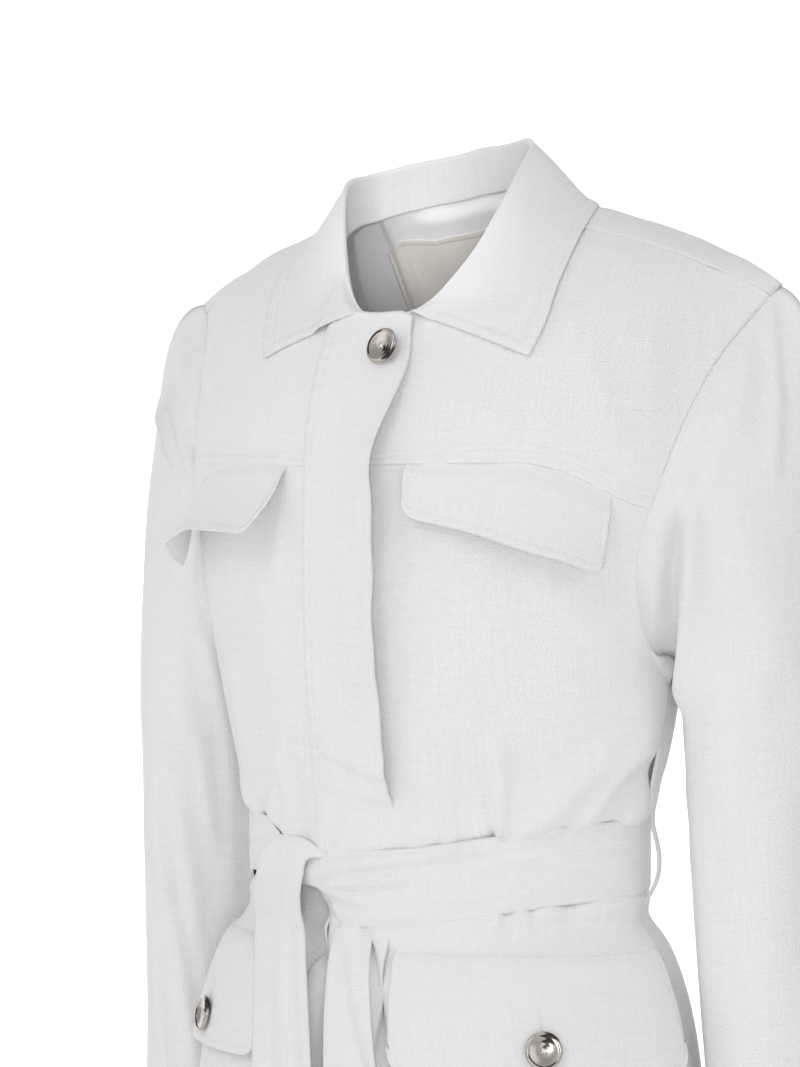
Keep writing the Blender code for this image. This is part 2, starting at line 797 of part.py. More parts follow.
def under_point(u, v):
    edge = fly_edge(fly_height(0.0, v, 0.0)) - UNDER_SHORT
    x = mix(UNDER_FOLD_X, edge, u)
    height = fly_height(x, v, 0.002)
    return off_front(x, height, UNDER_OFF + fly_lift(x, height) * 0.9)


def flap_point(flap, top_height):
    """A flap hanging from a seam: it leaves the body at its slant and ends in round corners."""
    length = abs(math.radians(flap.outer - flap.inner)) * 0.15

    def point(u, v):
        turn = mix(flap.inner, flap.outer, u)
        high = mix(flap.inner_height, flap.outer_height, u**0.7)
        near = min(u, 1 - u) * length
        if near < flap.corner:
            high -= flap.corner - math.sqrt(flap.corner**2 - (flap.corner - near) ** 2)
        slant = math.radians(mix(flap.inner_slant, flap.outer_slant, u))
        run = high * v
        away = run * math.sin(slant * (0.4 + 0.6 * v))
        down = run * math.cos(slant * (0.4 + 0.6 * v))
        return off_ring(turn, top_height(turn) - 0.0015 - down, CLOTH + flap.lie + away)

    return point


def belt_point(u, v):
    turn = mix(KNOT_RIGHT, KNOT_LEFT, u)
    middle = BELT_Z - belt_drop(turn)
    base = off_ring(turn, middle, BELT_OFF)
    return Vector((base.x, base.y, middle + (v - 0.5) * BELT_HIGH))


def tail_surface(rows):
    """A hanging belt end: its middle line, how far it stands off the front, and its width."""
    names = ("centre", "height", "off", "wide")
    curves = {name: column_curve(rows, name) for name in names}

    def point(u, v):
        x = curves["centre"](v) + (u - 0.5) * curves["wide"](v) * 0.88
        height = curves["height"](v)
        return off_front(x, height, curves["off"](v) + fly_lift(x, height))

    return point


def lining_point(u, v):
    """The lining inside the upper back, which shows through the neck."""
    x = mix(-LINING_HALF, LINING_HALF, u)
    top = max(neck_back_lift(min(abs(x), NECK_HALF)) + 2.0, LINING_TOP)
    return off_arch(x, mix(LINING_LIFT, top, v), -LINING_GAP)


def label_point(u, v):
    x = mix(LABEL_LEFT, LABEL_RIGHT, u)
    return off_arch(x, mix(LABEL_BOTTOM, LABEL_TOP, v), -LINING_GAP - THIN - 0.0006)


def button(name, place, facing, material):
    """A turned button: a raised rim round a shallow dish."""
    profile = (
        (0.0000, 0.0000),
        (0.0085, 0.0000),
        (0.0116, 0.0008),
        (BUTTON_RADIUS, 0.0018),
        (0.0118, 0.0034),
        (0.0106, 0.0040),
        (0.0088, 0.0034),
        (0.0000, 0.0024),
    )
    bm = bmesh.new()
    verts = [bm.verts.new((radius, 0.0, height)) for radius, height in profile]
    edges = [bm.edges.new(pair) for pair in zip(verts, verts[1:])]
    bmesh.ops.spin(
        bm,
        geom=verts + edges,
        cent=(0, 0, 0),
        axis=(0, 0, 1),
        angle=2 * math.pi,
        steps=20,
        use_merge=True,
    )
    bmesh.ops.remove_doubles(bm, verts=bm.verts, dist=1e-6)
    bmesh.ops.recalc_face_normals(bm, faces=bm.faces)
    turn = facing.to_track_quat("Z", "Y").to_matrix().to_4x4()
    bmesh.ops.transform(bm, matrix=Matrix.Translation(place) @ turn, verts=bm.verts)
    return add_object(name, bm, material)


def carrier(name, side, material):
    """A thread loop that stands round the belt at a side."""
    curve = bpy.data.curves.new(name, "CURVE")
    curve.dimensions = "3D"
    curve.resolution_u = 3
    curve.bevel_depth = LOOP_RADIUS
    curve.bevel_resolution = 1
    curve.use_fill_caps = True
    spline = curve.splines.new("NURBS")
    spline.points.add(len(LOOP) - 1)
    spline.use_endpoint_u = True
    spline.order_u = 4
    for knot, row in zip(spline.points, LOOP):
        base = off_ring(side * LOOP_TURN, row.height, row.off)
        knot.co = (base.x, base.y, base.z, 1.0)
    curve.materials.append(material)
    obj = bpy.data.objects.new(name, curve)
    collection.objects.link(obj)
    return obj


def linen(name):
    return make_material(name, LINEN, 0.85)


cloth("front_left", front_panel(1, LEFT_EDGE_X), 18, LOWER_ROWS, CLOTH, linen("linen_front_left"))
cloth("front_right", front_panel(-1, -RIGHT_EDGE_X), 16, LOWER_ROWS, CLOTH, linen("linen_front_right"), flip=True)
cloth("yoke_left", yoke_panel(1, LEFT_EDGE_X), 18, 6, CLOTH, linen("linen_yoke_left"))
cloth("yoke_right", yoke_panel(-1, -RIGHT_EDGE_X), 16, 6, CLOTH, linen("linen_yoke_right"), flip=True)
BACK_ROWS = LOWER_ROWS + UPPER_ROWS
upper_back = back_panel(WAIST_ROW, BACK_ROWS)
cloth("back", upper_back, 30, BACK_ROWS - WAIST_ROW, CLOTH, linen("linen_back"), flip=True)
cloth("back_skirt", back_panel(0, WAIST_ROW), 30, WAIST_ROW, CLOTH, linen("linen_back_skirt"), flip=True)
cloth("sleeve_left", sleeve_surface(1), 20, 16, CLOTH, linen("linen_sleeve_left"), side=-1, closed=True)
cloth("sleeve_right", sleeve_surface(-1), 20, 16, CLOTH, linen("linen_sleeve_right"), True, -1, True)
cloth("collar_stand", lambda u, v: stand_point(2 * u - 1, v), 32, 2, CLOTH, linen("linen_stand"), flip=True)
cloth("collar_leaf", lambda u, v: leaf_point(2 * u - 1, v), 32, 5, DOUBLE, linen("linen_leaf"))
cloth("fly", fly_point, 4, len(FLY_ROWS), FLY_WALL, linen("linen_fly"))
cloth("fly_under", under_point, 3, len(FLY_ROWS), THIN, linen("linen_fly_under"))
for flap in CHEST_FLAPS:
    cloth(flap.name, flap_point(flap, seam_height), 12, 4, DOUBLE, linen("linen_" + flap.name), flip=flap.outer > 0)
for flap in HIP_FLAPS:
    surface = flap_point(flap, lambda turn: HIP_FLAP_Z)
    cloth(flap.name, surface, 14, 4, DOUBLE, linen("linen_" + flap.name), flip=flap.outer > 0)
cloth("belt", belt_point, 48, 2, BELT_WALL, linen("linen_belt"))
cloth("belt_end_over", tail_surface(TAIL_OVER), 4, 20, BELT_WALL, linen("linen_end_over"), side=0.0)
cloth("belt_end_under", tail_surface(TAIL_UNDER), 4, 8, BELT_WALL, linen("linen_end_under"), side=0.0)
cloth("neck_lining", lining_point, 22, 8, THIN, make_material("lining", (0.80, 0.80, 0.81), 0.6))
cloth("neck_label", label_point, 6, 3, THIN, make_material("label_cotton", (0.66, 0.64, 0.58), 0.8))
carrier("belt_loop_left", 1, linen("linen_loop_left"))
carrier("belt_loop_right", -1, linen("linen_loop_right"))

horn = make_material("button_shell", (0.42, 0.36, 0.31), 0.2, 0.6)
fly_face = FLY_OFF + FLY_WALL + fly_lift(BUTTON_TOP_X, BUTTON_TOP_Z) + 0.0006
top_facing = normal_at(off_front, BUTTON_TOP_X, BUTTON_TOP_Z)
button("button_top", off_front(BUTTON_TOP_X, BUTTON_TOP_Z, fly_face), top_facing, horn)
for name, flap, turn in (
    ("button_hip_left", HIP_FLAPS[0], HIP_BUTTON_LEFT),
    ("button_hip_right", HIP_FLAPS[1], HIP_BUTTON_RIGHT),
):
    surface = flap_point(flap, lambda turn: HIP_FLAP_Z)
    u = (turn - flap.inner) / (flap.outer - flap.inner)
    v = (HIP_FLAP_Z - HIP_BUTTON_Z) / mix(flap.inner_height, flap.outer_height, u)
    down = surface(u, v + 0.05) - surface(u, v - 0.05)
    across = surface(u + 0.03, v) - surface(u - 0.03, v)
    facing = across.cross(down).normalized()
    if facing.y > 0:
        facing = -facing
    button(name, surface(u, v) + facing * (DOUBLE + 0.0007), facing, horn)
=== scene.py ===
# %% [markdown]
# # A belted linen jacket
#
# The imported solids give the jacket's true size and place. This lesson dresses them: every panel is cut
# again as a fine sheet of cloth on the same form, with the creases, seams and stitches that the linen
# shows.

import math
from collections import namedtuple

import bmesh
import bpy
import numpy as np
from mathutils import Matrix, Vector


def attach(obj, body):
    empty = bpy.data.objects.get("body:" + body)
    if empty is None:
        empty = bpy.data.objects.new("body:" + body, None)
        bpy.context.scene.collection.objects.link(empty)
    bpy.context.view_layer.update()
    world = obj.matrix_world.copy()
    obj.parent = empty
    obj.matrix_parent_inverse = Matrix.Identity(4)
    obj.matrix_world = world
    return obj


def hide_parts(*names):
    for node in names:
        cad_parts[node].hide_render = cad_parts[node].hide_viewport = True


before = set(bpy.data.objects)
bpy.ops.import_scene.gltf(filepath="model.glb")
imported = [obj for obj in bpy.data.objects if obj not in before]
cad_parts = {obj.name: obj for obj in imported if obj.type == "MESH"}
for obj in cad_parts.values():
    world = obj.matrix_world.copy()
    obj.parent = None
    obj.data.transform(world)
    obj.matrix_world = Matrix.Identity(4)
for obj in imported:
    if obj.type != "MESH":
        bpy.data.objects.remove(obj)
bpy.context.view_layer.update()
scene = bpy.context.scene


# %% [markdown]
# ## Camera
#
# The photograph was taken from the wearer's left front with a long lens, level with the chest. The
# camera stands two metres off, so that the near sleeve is only a little larger than the far one. The
# same numbers also tell where a point of the cloth falls in the photograph's 800 by 1067 frame, which is
# how creases are placed later.

# %% Camera
CAMERA_TURN = math.radians(31.0)
CAMERA_AWAY = 2.0
CAMERA_HEIGHT = -0.216
CAMERA_ASIDE = -0.032
PHOTO_WIDE, PHOTO_HIGH = 800, 1067
PHOTO_LENS = 2924.0
SENSOR = 36.0
to_right = np.array((math.cos(CAMERA_TURN), math.sin(CAMERA_TURN), 0.0))
to_camera = np.array((math.sin(CAMERA_TURN), -math.cos(CAMERA_TURN), 0.0))
camera = bpy.data.objects.new("camera", bpy.data.cameras.new("camera"))
camera.data.lens = PHOTO_LENS * SENSOR / PHOTO_HIGH
camera.location = to_right * CAMERA_ASIDE + to_camera * CAMERA_AWAY + np.array((0.0, 0.0, CAMERA_HEIGHT))
camera.rotation_euler = (math.pi / 2, 0.0, CAMERA_TURN)
scene.collection.objects.link(camera)
scene.camera = camera
print("lens:", round(camera.data.lens, 2), "mm")


def in_photo(place):
    """Where points fall in the photograph, in its pixels."""
    across = place @ to_right - CAMERA_ASIDE
    depth = CAMERA_AWAY - place @ to_camera
    u = PHOTO_WIDE / 2 + PHOTO_LENS * across / depth
    v = PHOTO_HIGH / 2 - PHOTO_LENS * (place[..., 2] - CAMERA_HEIGHT) / depth
    return u, v


# %% [markdown]
# ## Light and floor
#
# White cloth on white needs light from everywhere, or its shaded side turns grey. A bright sky lights
# all sides and a pale floor sends light up again. A lamp high on the camera's left lays a soft shadow to
# the right of every free edge: the fly, the flaps and the belt's ends. A narrow lamp beside the camera
# reaches into the neck.

# %% Light
SKY_STRENGTH = 0.43
world = bpy.data.worlds.new("studio")
world.use_nodes = True
world.node_tree.nodes["Background"].inputs["Color"].default_value = (1.0, 1.0, 1.0, 1.0)
world.node_tree.nodes["Background"].inputs["Strength"].default_value = SKY_STRENGTH
scene.world = world
scene.view_settings.view_transform = "Standard"


def aim_lamp(lamp, place, aim):
    obj = bpy.data.objects.new(lamp.name, lamp)
    obj.location = place
    obj.rotation_euler = (Vector(aim) - Vector(place)).to_track_quat("-Z", "Y").to_euler()
    scene.collection.objects.link(obj)


def add_lamp(name, place, aim, size, watts):
    lamp = bpy.data.lights.new(name, "AREA")
    lamp.shape = "RECTANGLE"
    lamp.size, lamp.size_y = size
    lamp.energy = watts
    aim_lamp(lamp, place, aim)


add_lamp("key_lamp", (-0.20, -2.2, 1.35), (0.0, 0.0, -0.25), (1.1, 1.1), 9.6)
add_lamp("front_lamp", (1.16, -1.98, -0.26), (0.0, 0.0, -0.15), (0.7, 0.7), 7.5)
add_lamp("far_lamp", (-1.9, -1.7, 0.3), (0.0, 0.0, -0.3), (1.4, 2.0), 9.5)
add_lamp("side_lamp", (2.6, -0.8, 0.5), (0.0, 0.0, -0.3), (1.4, 2.0), 8.5)
add_lamp("top_lamp", (0.35, -0.75, 1.85), (0.0, 0.0, -0.1), (1.2, 1.2), 4.2)
neck_light = bpy.data.lights.new("neck_lamp", "SPOT")
neck_light.energy = 118.0
neck_light.spot_size = math.radians(2.8)
neck_light.spot_blend = 1.0
neck_light.shadow_soft_size = 0.05
aim_lamp(neck_light, (0.94, -1.80, -0.17), (-0.060, 0.060, 0.000))

# %% Floor and backdrop
FLOOR_Z, FLOOR_HALF = -1.42, 9.0
WALL_LEAN, BACKDROP_FROM = 0.6, 3.0


def to_mesh(bm, name):
    mesh = bpy.data.meshes.new(name)
    bm.to_mesh(mesh)
    bm.free()
    return mesh


def pale_stage(name, colour, glow):
    material = bpy.data.materials.new(name)
    material.use_nodes = True
    shader = material.node_tree.nodes["Principled BSDF"]
    shader.inputs["Base Color"].default_value = (*colour, 1.0)
    shader.inputs["Roughness"].default_value = 0.9
    shader.inputs["Emission Color"].default_value = (1.0, 1.0, 1.0, 1.0)
    shader.inputs["Emission Strength"].default_value = glow
    return material


bm = bmesh.new()
bmesh.ops.create_grid(bm, x_segments=1, y_segments=6, size=FLOOR_HALF)
bmesh.ops.translate(bm, verts=bm.verts, vec=(0.0, 0.0, FLOOR_Z))
far_edge = [edge for edge in bm.edges if all(vert.co.y > FLOOR_HALF - 1.0 for vert in edge.verts)]
raised = bmesh.ops.extrude_edge_only(bm, edges=far_edge)["geom"]
wall_verts = [item for item in raised if isinstance(item, bmesh.types.BMVert)]
bmesh.ops.translate(bm, verts=wall_verts, vec=(0.0, WALL_LEAN, FLOOR_HALF))
for face in bm.faces:
    face.material_index = int(face.calc_center_median().y > BACKDROP_FROM)
floor_mesh = to_mesh(bm, "floor")
floor_mesh.materials.append(pale_stage("pale_floor", (0.90, 0.90, 0.90), 0.20))
floor_mesh.materials.append(pale_stage("pale_backdrop", (0.93, 0.93, 0.93), 0.85))
floor = bpy.data.objects.new("floor", floor_mesh)
floor.rotation_euler = (0.0, 0.0, CAMERA_TURN)
scene.collection.objects.link(floor)
print("floor at", FLOOR_Z)

# %% [markdown]
# ## The linen
#
# Linen is a plain or twill weave of uneven flax yarns. What the eye reads at arm's length is not each
# thread but the slubs, thicker stretches of yarn that run as fine bright lines along and across the
# cloth. The material reads the sheet's own UV map, which is in metres along and across the grain, so the
# weave keeps its scale and turns with each piece.

# %% Node helpers
THREAD = 0.0017


def new_material(name):
    material = bpy.data.materials.new(name)
    material.use_nodes = True
    tree = material.node_tree
    return material, tree, tree.nodes["Principled BSDF"]


def add_node(tree, kind, **settings):
    node = tree.nodes.new(kind)
    for key, value in settings.items():
        if key in node.inputs:
            node.inputs[key].default_value = value
        else:
            setattr(node, key, value)
    return node


def math_node(tree, operation, first, second=None):
    node = tree.nodes.new("ShaderNodeMath")
    node.operation = operation
    for socket, value in zip(node.inputs, (first, second)):
        if value is None:
            continue
        if isinstance(value, (int, float)):
            socket.default_value = value
        else:
            tree.links.new(value, socket)
    return node.outputs[0]


def stretched_noise(tree, vector, scale, detail, seed_shift=0.0):
    mapping = add_node(tree, "ShaderNodeMapping")
    mapping.inputs["Scale"].default_value = scale
    mapping.inputs["Location"].default_value = (seed_shift, seed_shift * 1.7, 0.0)
    tree.links.new(vector, mapping.inputs["Vector"])
    noise = add_node(tree, "ShaderNodeTexNoise", Scale=1.0, Detail=detail, Roughness=0.55)
    tree.links.new(mapping.outputs["Vector"], noise.inputs["Vector"])
    return noise.outputs["Fac"]


print("a twill line every", round(THREAD * 1000, 2), "mm")

# %% Bumps, ranges and tints
WHITEST = 0.97


def bumped(tree, height, strength, distance, under=None):
    """A normal raised by a height, on top of another one if there is one."""
    node = add_node(tree, "ShaderNodeBump", Strength=strength, Distance=distance)
    tree.links.new(height, node.inputs["Height"])
    if under is not None:
        tree.links.new(under, node.inputs["Normal"])
    return node.outputs["Normal"]


def ranged(tree, value, low, high, kind="LINEAR"):
    """A share that goes from 0 to 1 as a value goes from low to high."""
    node = add_node(tree, "ShaderNodeMapRange", interpolation_type=kind)
    node.inputs["From Min"].default_value = low
    node.inputs["From Max"].default_value = high
    tree.links.new(value, node.inputs["Value"])
    return node.outputs["Result"]


def blended(tree, share, first, second):
    node = add_node(tree, "ShaderNodeMix", data_type="RGBA")
    node.inputs["A"].default_value = (*first, 1.0)
    node.inputs["B"].default_value = (*second, 1.0)
    tree.links.new(share, node.inputs["Factor"])
    return node.outputs["Result"]


def tinted(tree, share, colour, dark, light):
    """A colour from a darker to a lighter shade of itself."""
    return blended(tree, share, [c * dark for c in colour], [min(c * light, WHITEST) for c in colour])


print("no cloth is whiter than", WHITEST)


# %% The linen material
def make_linen(name, colour):
    """Woven flax: twill lines, slubs both ways, a soft crumple, and a faint sheen."""
    material, tree, shader = new_material(name)
    grain = add_node(tree, "ShaderNodeUVMap", uv_map="grain").outputs["UV"]
    parts = add_node(tree, "ShaderNodeSeparateXYZ")
    tree.links.new(grain, parts.inputs[0])
    across, along = parts.outputs["X"], parts.outputs["Y"]
    turn = 2 * math.pi / THREAD
    diagonal = math_node(tree, "MULTIPLY", math_node(tree, "SUBTRACT", across, along), turn)
    wander = stretched_noise(tree, grain, (90.0, 90.0, 1.0), 2.0, 8.2)
    diagonal = math_node(tree, "ADD", diagonal, math_node(tree, "MULTIPLY", wander, 9.0))
    patchy = stretched_noise(tree, grain, (260.0, 260.0, 1.0), 1.0, 5.3)
    twill = math_node(tree, "MULTIPLY", math_node(tree, "SINE", diagonal), patchy)
    weft_yarn = stretched_noise(tree, grain, (26.0, 1150.0, 1.0), 2.0)
    warp_yarn = stretched_noise(tree, grain, (950.0, 18.0, 1.0), 2.0, 3.1)
    slubs = []
    for yarn, thick, gain in ((weft_yarn, 0.62, 6.0), (warp_yarn, 0.64, 5.0)):
        over = math_node(tree, "MULTIPLY", math_node(tree, "SUBTRACT", yarn, thick), gain)
        slubs.append(math_node(tree, "MAXIMUM", over, 0.0))
    height = math_node(tree, "MULTIPLY", math_node(tree, "ADD", weft_yarn, warp_yarn), 0.62)
    for layer, share in ((math_node(tree, "ADD", *slubs), 0.5), (twill, 0.26)):
        height = math_node(tree, "ADD", height, math_node(tree, "MULTIPLY", layer, share))
    coords = add_node(tree, "ShaderNodeTexCoord").outputs["Object"]
    soft = stretched_noise(tree, coords, (38.0, 38.0, 22.0), 3.0, 0.7)
    crumple = bumped(tree, soft, 0.35, 0.0022)
    tree.links.new(bumped(tree, height, 0.7, 0.0004, crumple), shader.inputs["Normal"])
    shade = tinted(tree, ranged(tree, height, 0.10, 1.15), colour, 0.90, 1.10)
    tree.links.new(shade, shader.inputs["Base Color"])
    shader.inputs["Roughness"].default_value = 0.82
    shader.inputs["Specular IOR Level"].default_value = 0.25
    shader.inputs["Sheen Weight"].default_value = 0.12
    shader.inputs["Sheen Roughness"].default_value = 0.6
    return material


LINEN_COLOUR = (0.86, 0.853, 0.858)
linen = make_linen("white_linen", LINEN_COLOUR)
print("linen nodes:", len(linen.node_tree.nodes))

# %% [markdown]
# ## The form of the jacket
#
# The cloth hangs on the same form as the solids, so the form is worked out again from the same short
# tables: rings below the chest line, arches over the shoulder above it, and an armhole cut through both.
# All functions take whole arrays of places at once, so that a sheet of thirty thousand points takes only
# milliseconds.

# %% Tables of the form
CLOTH = 0.0016
SEAM = 0.0001
CHEST_Z, UNDERARM_Z, BELT_Z = -0.178, -0.308, -0.436
HEM_Z, CUFF_Z, BICEPS_Z = -0.690, -0.660, -0.345
Ring = namedtuple("Ring", "height half_width back_width front back")
BODY = (
    Ring(-0.690, 0.194, 0.194, 0.139, 0.135),
    Ring(-0.610, 0.186, 0.186, 0.132, 0.130),
    Ring(-0.563, 0.179, 0.179, 0.127, 0.125),
    Ring(-0.521, 0.171, 0.171, 0.120, 0.119),
    Ring(-0.490, 0.159, 0.159, 0.109, 0.109),
    Ring(-0.466, 0.1410, 0.1410, 0.0950, 0.0940),
    Ring(-0.436, 0.139, 0.139, 0.094, 0.093),
    Ring(-0.406, 0.1410, 0.1410, 0.0950, 0.0945),
    Ring(-0.384, 0.152, 0.152, 0.101, 0.102),
    Ring(-0.350, 0.161, 0.161, 0.107, 0.109),
    Ring(-0.308, 0.170, 0.170, 0.112, 0.115),
    Ring(-0.263, 0.179, 0.187, 0.115, 0.119),
    Ring(-0.230, 0.185, 0.205, 0.1155, 0.120),
    Ring(-0.178, 0.193, 0.250, 0.114, 0.119),
)
Ridge = namedtuple("Ridge", "out height depth")
RIDGE = (
    Ridge(0.000, 0.020, 0.018),
    Ridge(0.074, 0.009, 0.026),
    Ridge(0.100, 0.003, 0.030),
    Ridge(0.150, -0.016, 0.036),
    Ridge(0.185, -0.030, 0.040),
    Ridge(0.216, -0.044, 0.042),
    Ridge(0.235, -0.058, 0.042),
)
Armhole = namedtuple("Armhole", "height out")
ARMHOLE = (
    Armhole(-0.308, 0.1700),
    Armhole(-0.270, 0.1672),
    Armhole(-0.230, 0.1685),
    Armhole(-0.182, 0.1806),
    Armhole(-0.136, 0.1926),
    Armhole(-0.105, 0.2020),
    Armhole(-0.069, 0.2190),
    Armhole(-0.052, 0.2300),
)
print("rings:", len(BODY), "ridge places:", len(RIDGE), "armhole places:", len(ARMHOLE))


# %% Curves through the tables
def column_curve(rows, column):
    """A smooth curve through one column of a table, read against the table's first column."""
    places = np.array([row[0] for row in rows], dtype=float)
    values = np.array([getattr(row, column) for row in rows], dtype=float)
    slopes = np.gradient(values, places)

    def value(place):
        i = np.clip(np.searchsorted(places, place) - 1, 0, len(places) - 2)
        width = places[i + 1] - places[i]
        t = np.clip((place - places[i]) / width, 0.0, 1.0)
        rise = t * t * (3 - 2 * t) * (values[i + 1] - values[i])
        bend = t * (1 - t) * width * ((1 - t) * slopes[i] - t * slopes[i + 1])
        return values[i] + rise + bend

    return value


def column_curves(rows):
    """A curve for each column after the first, by name."""
    return {name: column_curve(rows, name) for name in rows[0]._fields[1:]}


half_width = column_curve(BODY, "half_width")
back_width = column_curve(BODY, "back_width")
front_depth = column_curve(BODY, "front")
back_depth = column_curve(BODY, "back")
ridge_height = column_curve(RIDGE, "height")
ridge_depth = column_curve(RIDGE, "depth")
armhole_out = column_curve(ARMHOLE, "out")


def mix(first, second, share):
    return first + (second - first) * share


def step(low, high, value):
    t = np.clip((value - low) / (high - low), 0.0, 1.0)
    return t * t * (3 - 2 * t)


def hump(value, centre, width):
    return np.exp(-(((value - centre) / width) ** 2))


def xyz(x, y, z):
    return np.stack(np.broadcast_arrays(x, y, z), axis=-1).astype(float)


print("half the waist:", round(float(half_width(BELT_Z)), 4), "m")

# %% Rings below the chest line
Gather = namedtuple("Gather", "turn depth spread above below lean")
GATHERS = (
    Gather(8, 0.0030, 6.2, 0.035, 0.020, 0),
    Gather(21, 0.0035, 6.2, 0.045, 0.030, 60),
    Gather(36, 0.0055, 6.7, 0.060, 0.030, 0),
    Gather(50, 0.0050, 6.7, 0.045, 0.030, 250),
    Gather(66, 0.0055, 7.2, 0.055, 0.035, 300),
    Gather(-22, 0.0040, 6.2, 0.050, 0.020, -80),
    Gather(-40, 0.0055, 6.7, 0.060, 0.030, -160),
    Gather(-57, 0.0050, 6.7, 0.050, 0.030, -240),
    Gather(-74, 0.0050, 7.2, 0.055, 0.035, -260),
    Gather(108, 0.0045, 7.2, 0.055, 0.035, -60),
    Gather(128, 0.0050, 7.2, 0.060, 0.035, -40),
    Gather(148, 0.0045, 7.2, 0.050, 0.030, -20),
    Gather(170, 0.0040, 7.2, 0.055, 0.030, 0),
    Gather(-166, 0.0045, 7.2, 0.060, 0.030, 0),
    Gather(-144, 0.0050, 7.2, 0.055, 0.035, 20),
    Gather(-124, 0.0045, 7.2, 0.060, 0.030, 40),
    Gather(-104, 0.0045, 7.2, 0.050, 0.035, 60),
)
BELT_SAG, BELT_HOLD = 0.013, 0.075
SAG_TURN, SAG_SPREAD = -10.0, 50.0


def turn_apart(first, second):
    return (first - second + 180.0) % 360.0 - 180.0


def belt_drop(turn):
    """How far the tied belt sags below its height at the sides."""
    return BELT_SAG * np.exp(-((turn_apart(turn, SAG_TURN) / SAG_SPREAD) ** 2))


def gather_depth(turn, height):
    total = 0.0
    over = height - BELT_Z
    for fold in GATHERS:
        across = turn_apart(turn, fold.turn + fold.lean * over) / fold.spread
        reach = np.where(over > 0, fold.above, fold.below)
        total = total + fold.depth * np.exp(-across * across - (over / reach) ** 2)
    return total


def ring_point(turn, height, gathered=True):
    """The body below the chest line, turned from the centre front towards the wearer's left."""
    turn, height = np.broadcast_arrays(turn, height)
    angle = np.radians(turn)
    level = height + belt_drop(turn) * hump(height, BELT_Z, BELT_HOLD)
    ahead = np.cos(angle) > 0
    x = np.where(ahead, half_width(level), back_width(level)) * np.sin(angle)
    y = -np.where(ahead, front_depth(level), back_depth(level)) * np.cos(angle)
    if gathered:
        shrink = 1.0 - gather_depth(turn, height) / np.hypot(x, y)
        x, y = x * shrink, y * shrink
    return xyz(x, y, height)


def smooth_ring(turn, height):
    return ring_point(turn, height, False)


print("waist ring:", np.round(ring_point(np.array([0.0, 90.0]), BELT_Z), 3).tolist())

# %% Arches over the shoulder
CHEST_TURN = 0.180
SLOPE_NECK, SLOPE_TIP, SLOPE_REACH = 1.80, 1.15, 0.2
SHOULDER_LIFT = 66.0
CHEST_SEAM_Z = -0.171
Fall = namedtuple("Fall", "drop start end")
SEAM_FALL = {1: Fall(0.0285, 33.0, 68.0), -1: Fall(0.0240, 36.0, 70.0)}
NECK_HALF, NECK_FRONT_Z, NAPE_LIFT = 0.074, -0.071, 110.0


def chest_front(x):
    """Depth of the front at the chest line; past the turn of the chest it runs on straight."""
    wide, deep = half_width(CHEST_Z), front_depth(CHEST_Z)
    flat = np.minimum(np.abs(x), CHEST_TURN)
    share = np.sqrt(1 - (flat / wide) ** 2)
    return -deep * share + deep * flat / (wide * wide * share) * (np.abs(x) - flat)


def chest_back(x):
    return back_depth(CHEST_Z) * np.sqrt(1 - (x / back_width(CHEST_Z)) ** 2)


def arch_high(x):
    return ridge_height(np.abs(x)) - CHEST_Z


def arch_point(x, lift):
    """The body above the chest line: lift 0 is the chest line in front, 90 the crest, 180 the line behind."""
    x, lift = np.broadcast_arrays(x, lift)
    angle = np.radians(lift)
    middle = ridge_depth(np.abs(x))
    ahead = np.cos(angle) > 0
    slope = mix(SLOPE_NECK, SLOPE_TIP, np.minimum(np.abs(x) / SLOPE_REACH, 1.0))
    power = np.where(ahead, slope, 1.0)
    reach = np.where(ahead, chest_front(x), chest_back(x)) - middle
    y = middle + reach * np.abs(np.cos(angle)) ** power
    return xyz(x, y, CHEST_Z + arch_high(x) * np.sin(angle))


def front_point(x, height):
    """The front at a place across and a height."""
    x, height = np.broadcast_arrays(np.asarray(x, dtype=float), height)
    share = np.clip((height - CHEST_Z) / arch_high(x), 0.0, 1.0)
    upper = arch_point(x, np.degrees(np.arcsin(share)))
    low = np.minimum(height, CHEST_Z)
    turn = np.zeros_like(x)
    for _ in range(6):
        wide = half_width(low + belt_drop(turn) * hump(low, BELT_Z, BELT_HOLD))
        turn = np.degrees(np.arcsin(np.clip(x / wide, -1.0, 1.0)))
    return np.where((height >= CHEST_Z)[..., None], upper, smooth_ring(turn, low))


print("crest half way out:", np.round(arch_point(0.100, 90.0), 3).tolist())


# %% Moving points off the form
def moved_out(surface, first, second, off, steps):
    """Points of a surface moved along the normals there."""
    across = surface(first + steps[0], second) - surface(first - steps[0], second)
    along = surface(first, second + steps[1]) - surface(first, second - steps[1])
    out = np.cross(across, along)
    out /= np.linalg.norm(out, axis=-1, keepdims=True)
    return surface(first, second) + out * np.asarray(off, dtype=float)[..., None]


def off_ring(turn, height, off):
    return moved_out(smooth_ring, turn, height, off, (0.5, 0.001))


def off_arch(x, lift, off):
    return moved_out(arch_point, x, lift, off, (0.001, 0.5))


def off_front(x, height, off):
    return moved_out(front_point, x, height, off, (0.001, 0.001))


print("2 mm off the centre front:", np.round(off_front(0.0, CHEST_Z, 0.002), 4).tolist())


# %% Armhole, chest seam and neckline
def armhole_x(lift):
    """Where the armhole seam crosses the arch."""
    x = armhole_out(CHEST_Z) + 0.0 * np.asarray(lift, dtype=float)
    for _ in range(14):
        x = armhole_out(CHEST_Z + arch_high(x) * np.sin(np.radians(lift)))
    return x


def end_turn(height, front):
    """The turn at which a body panel ends: the side seam, or above the underarm the armhole."""
    wide = half_width(height) if front else back_width(height)
    turn = np.degrees(np.arcsin(np.minimum(armhole_out(height) / wide, 1.0)))
    return np.where(np.asarray(height) <= UNDERARM_Z, 90.0, turn if front else 180.0 - turn)


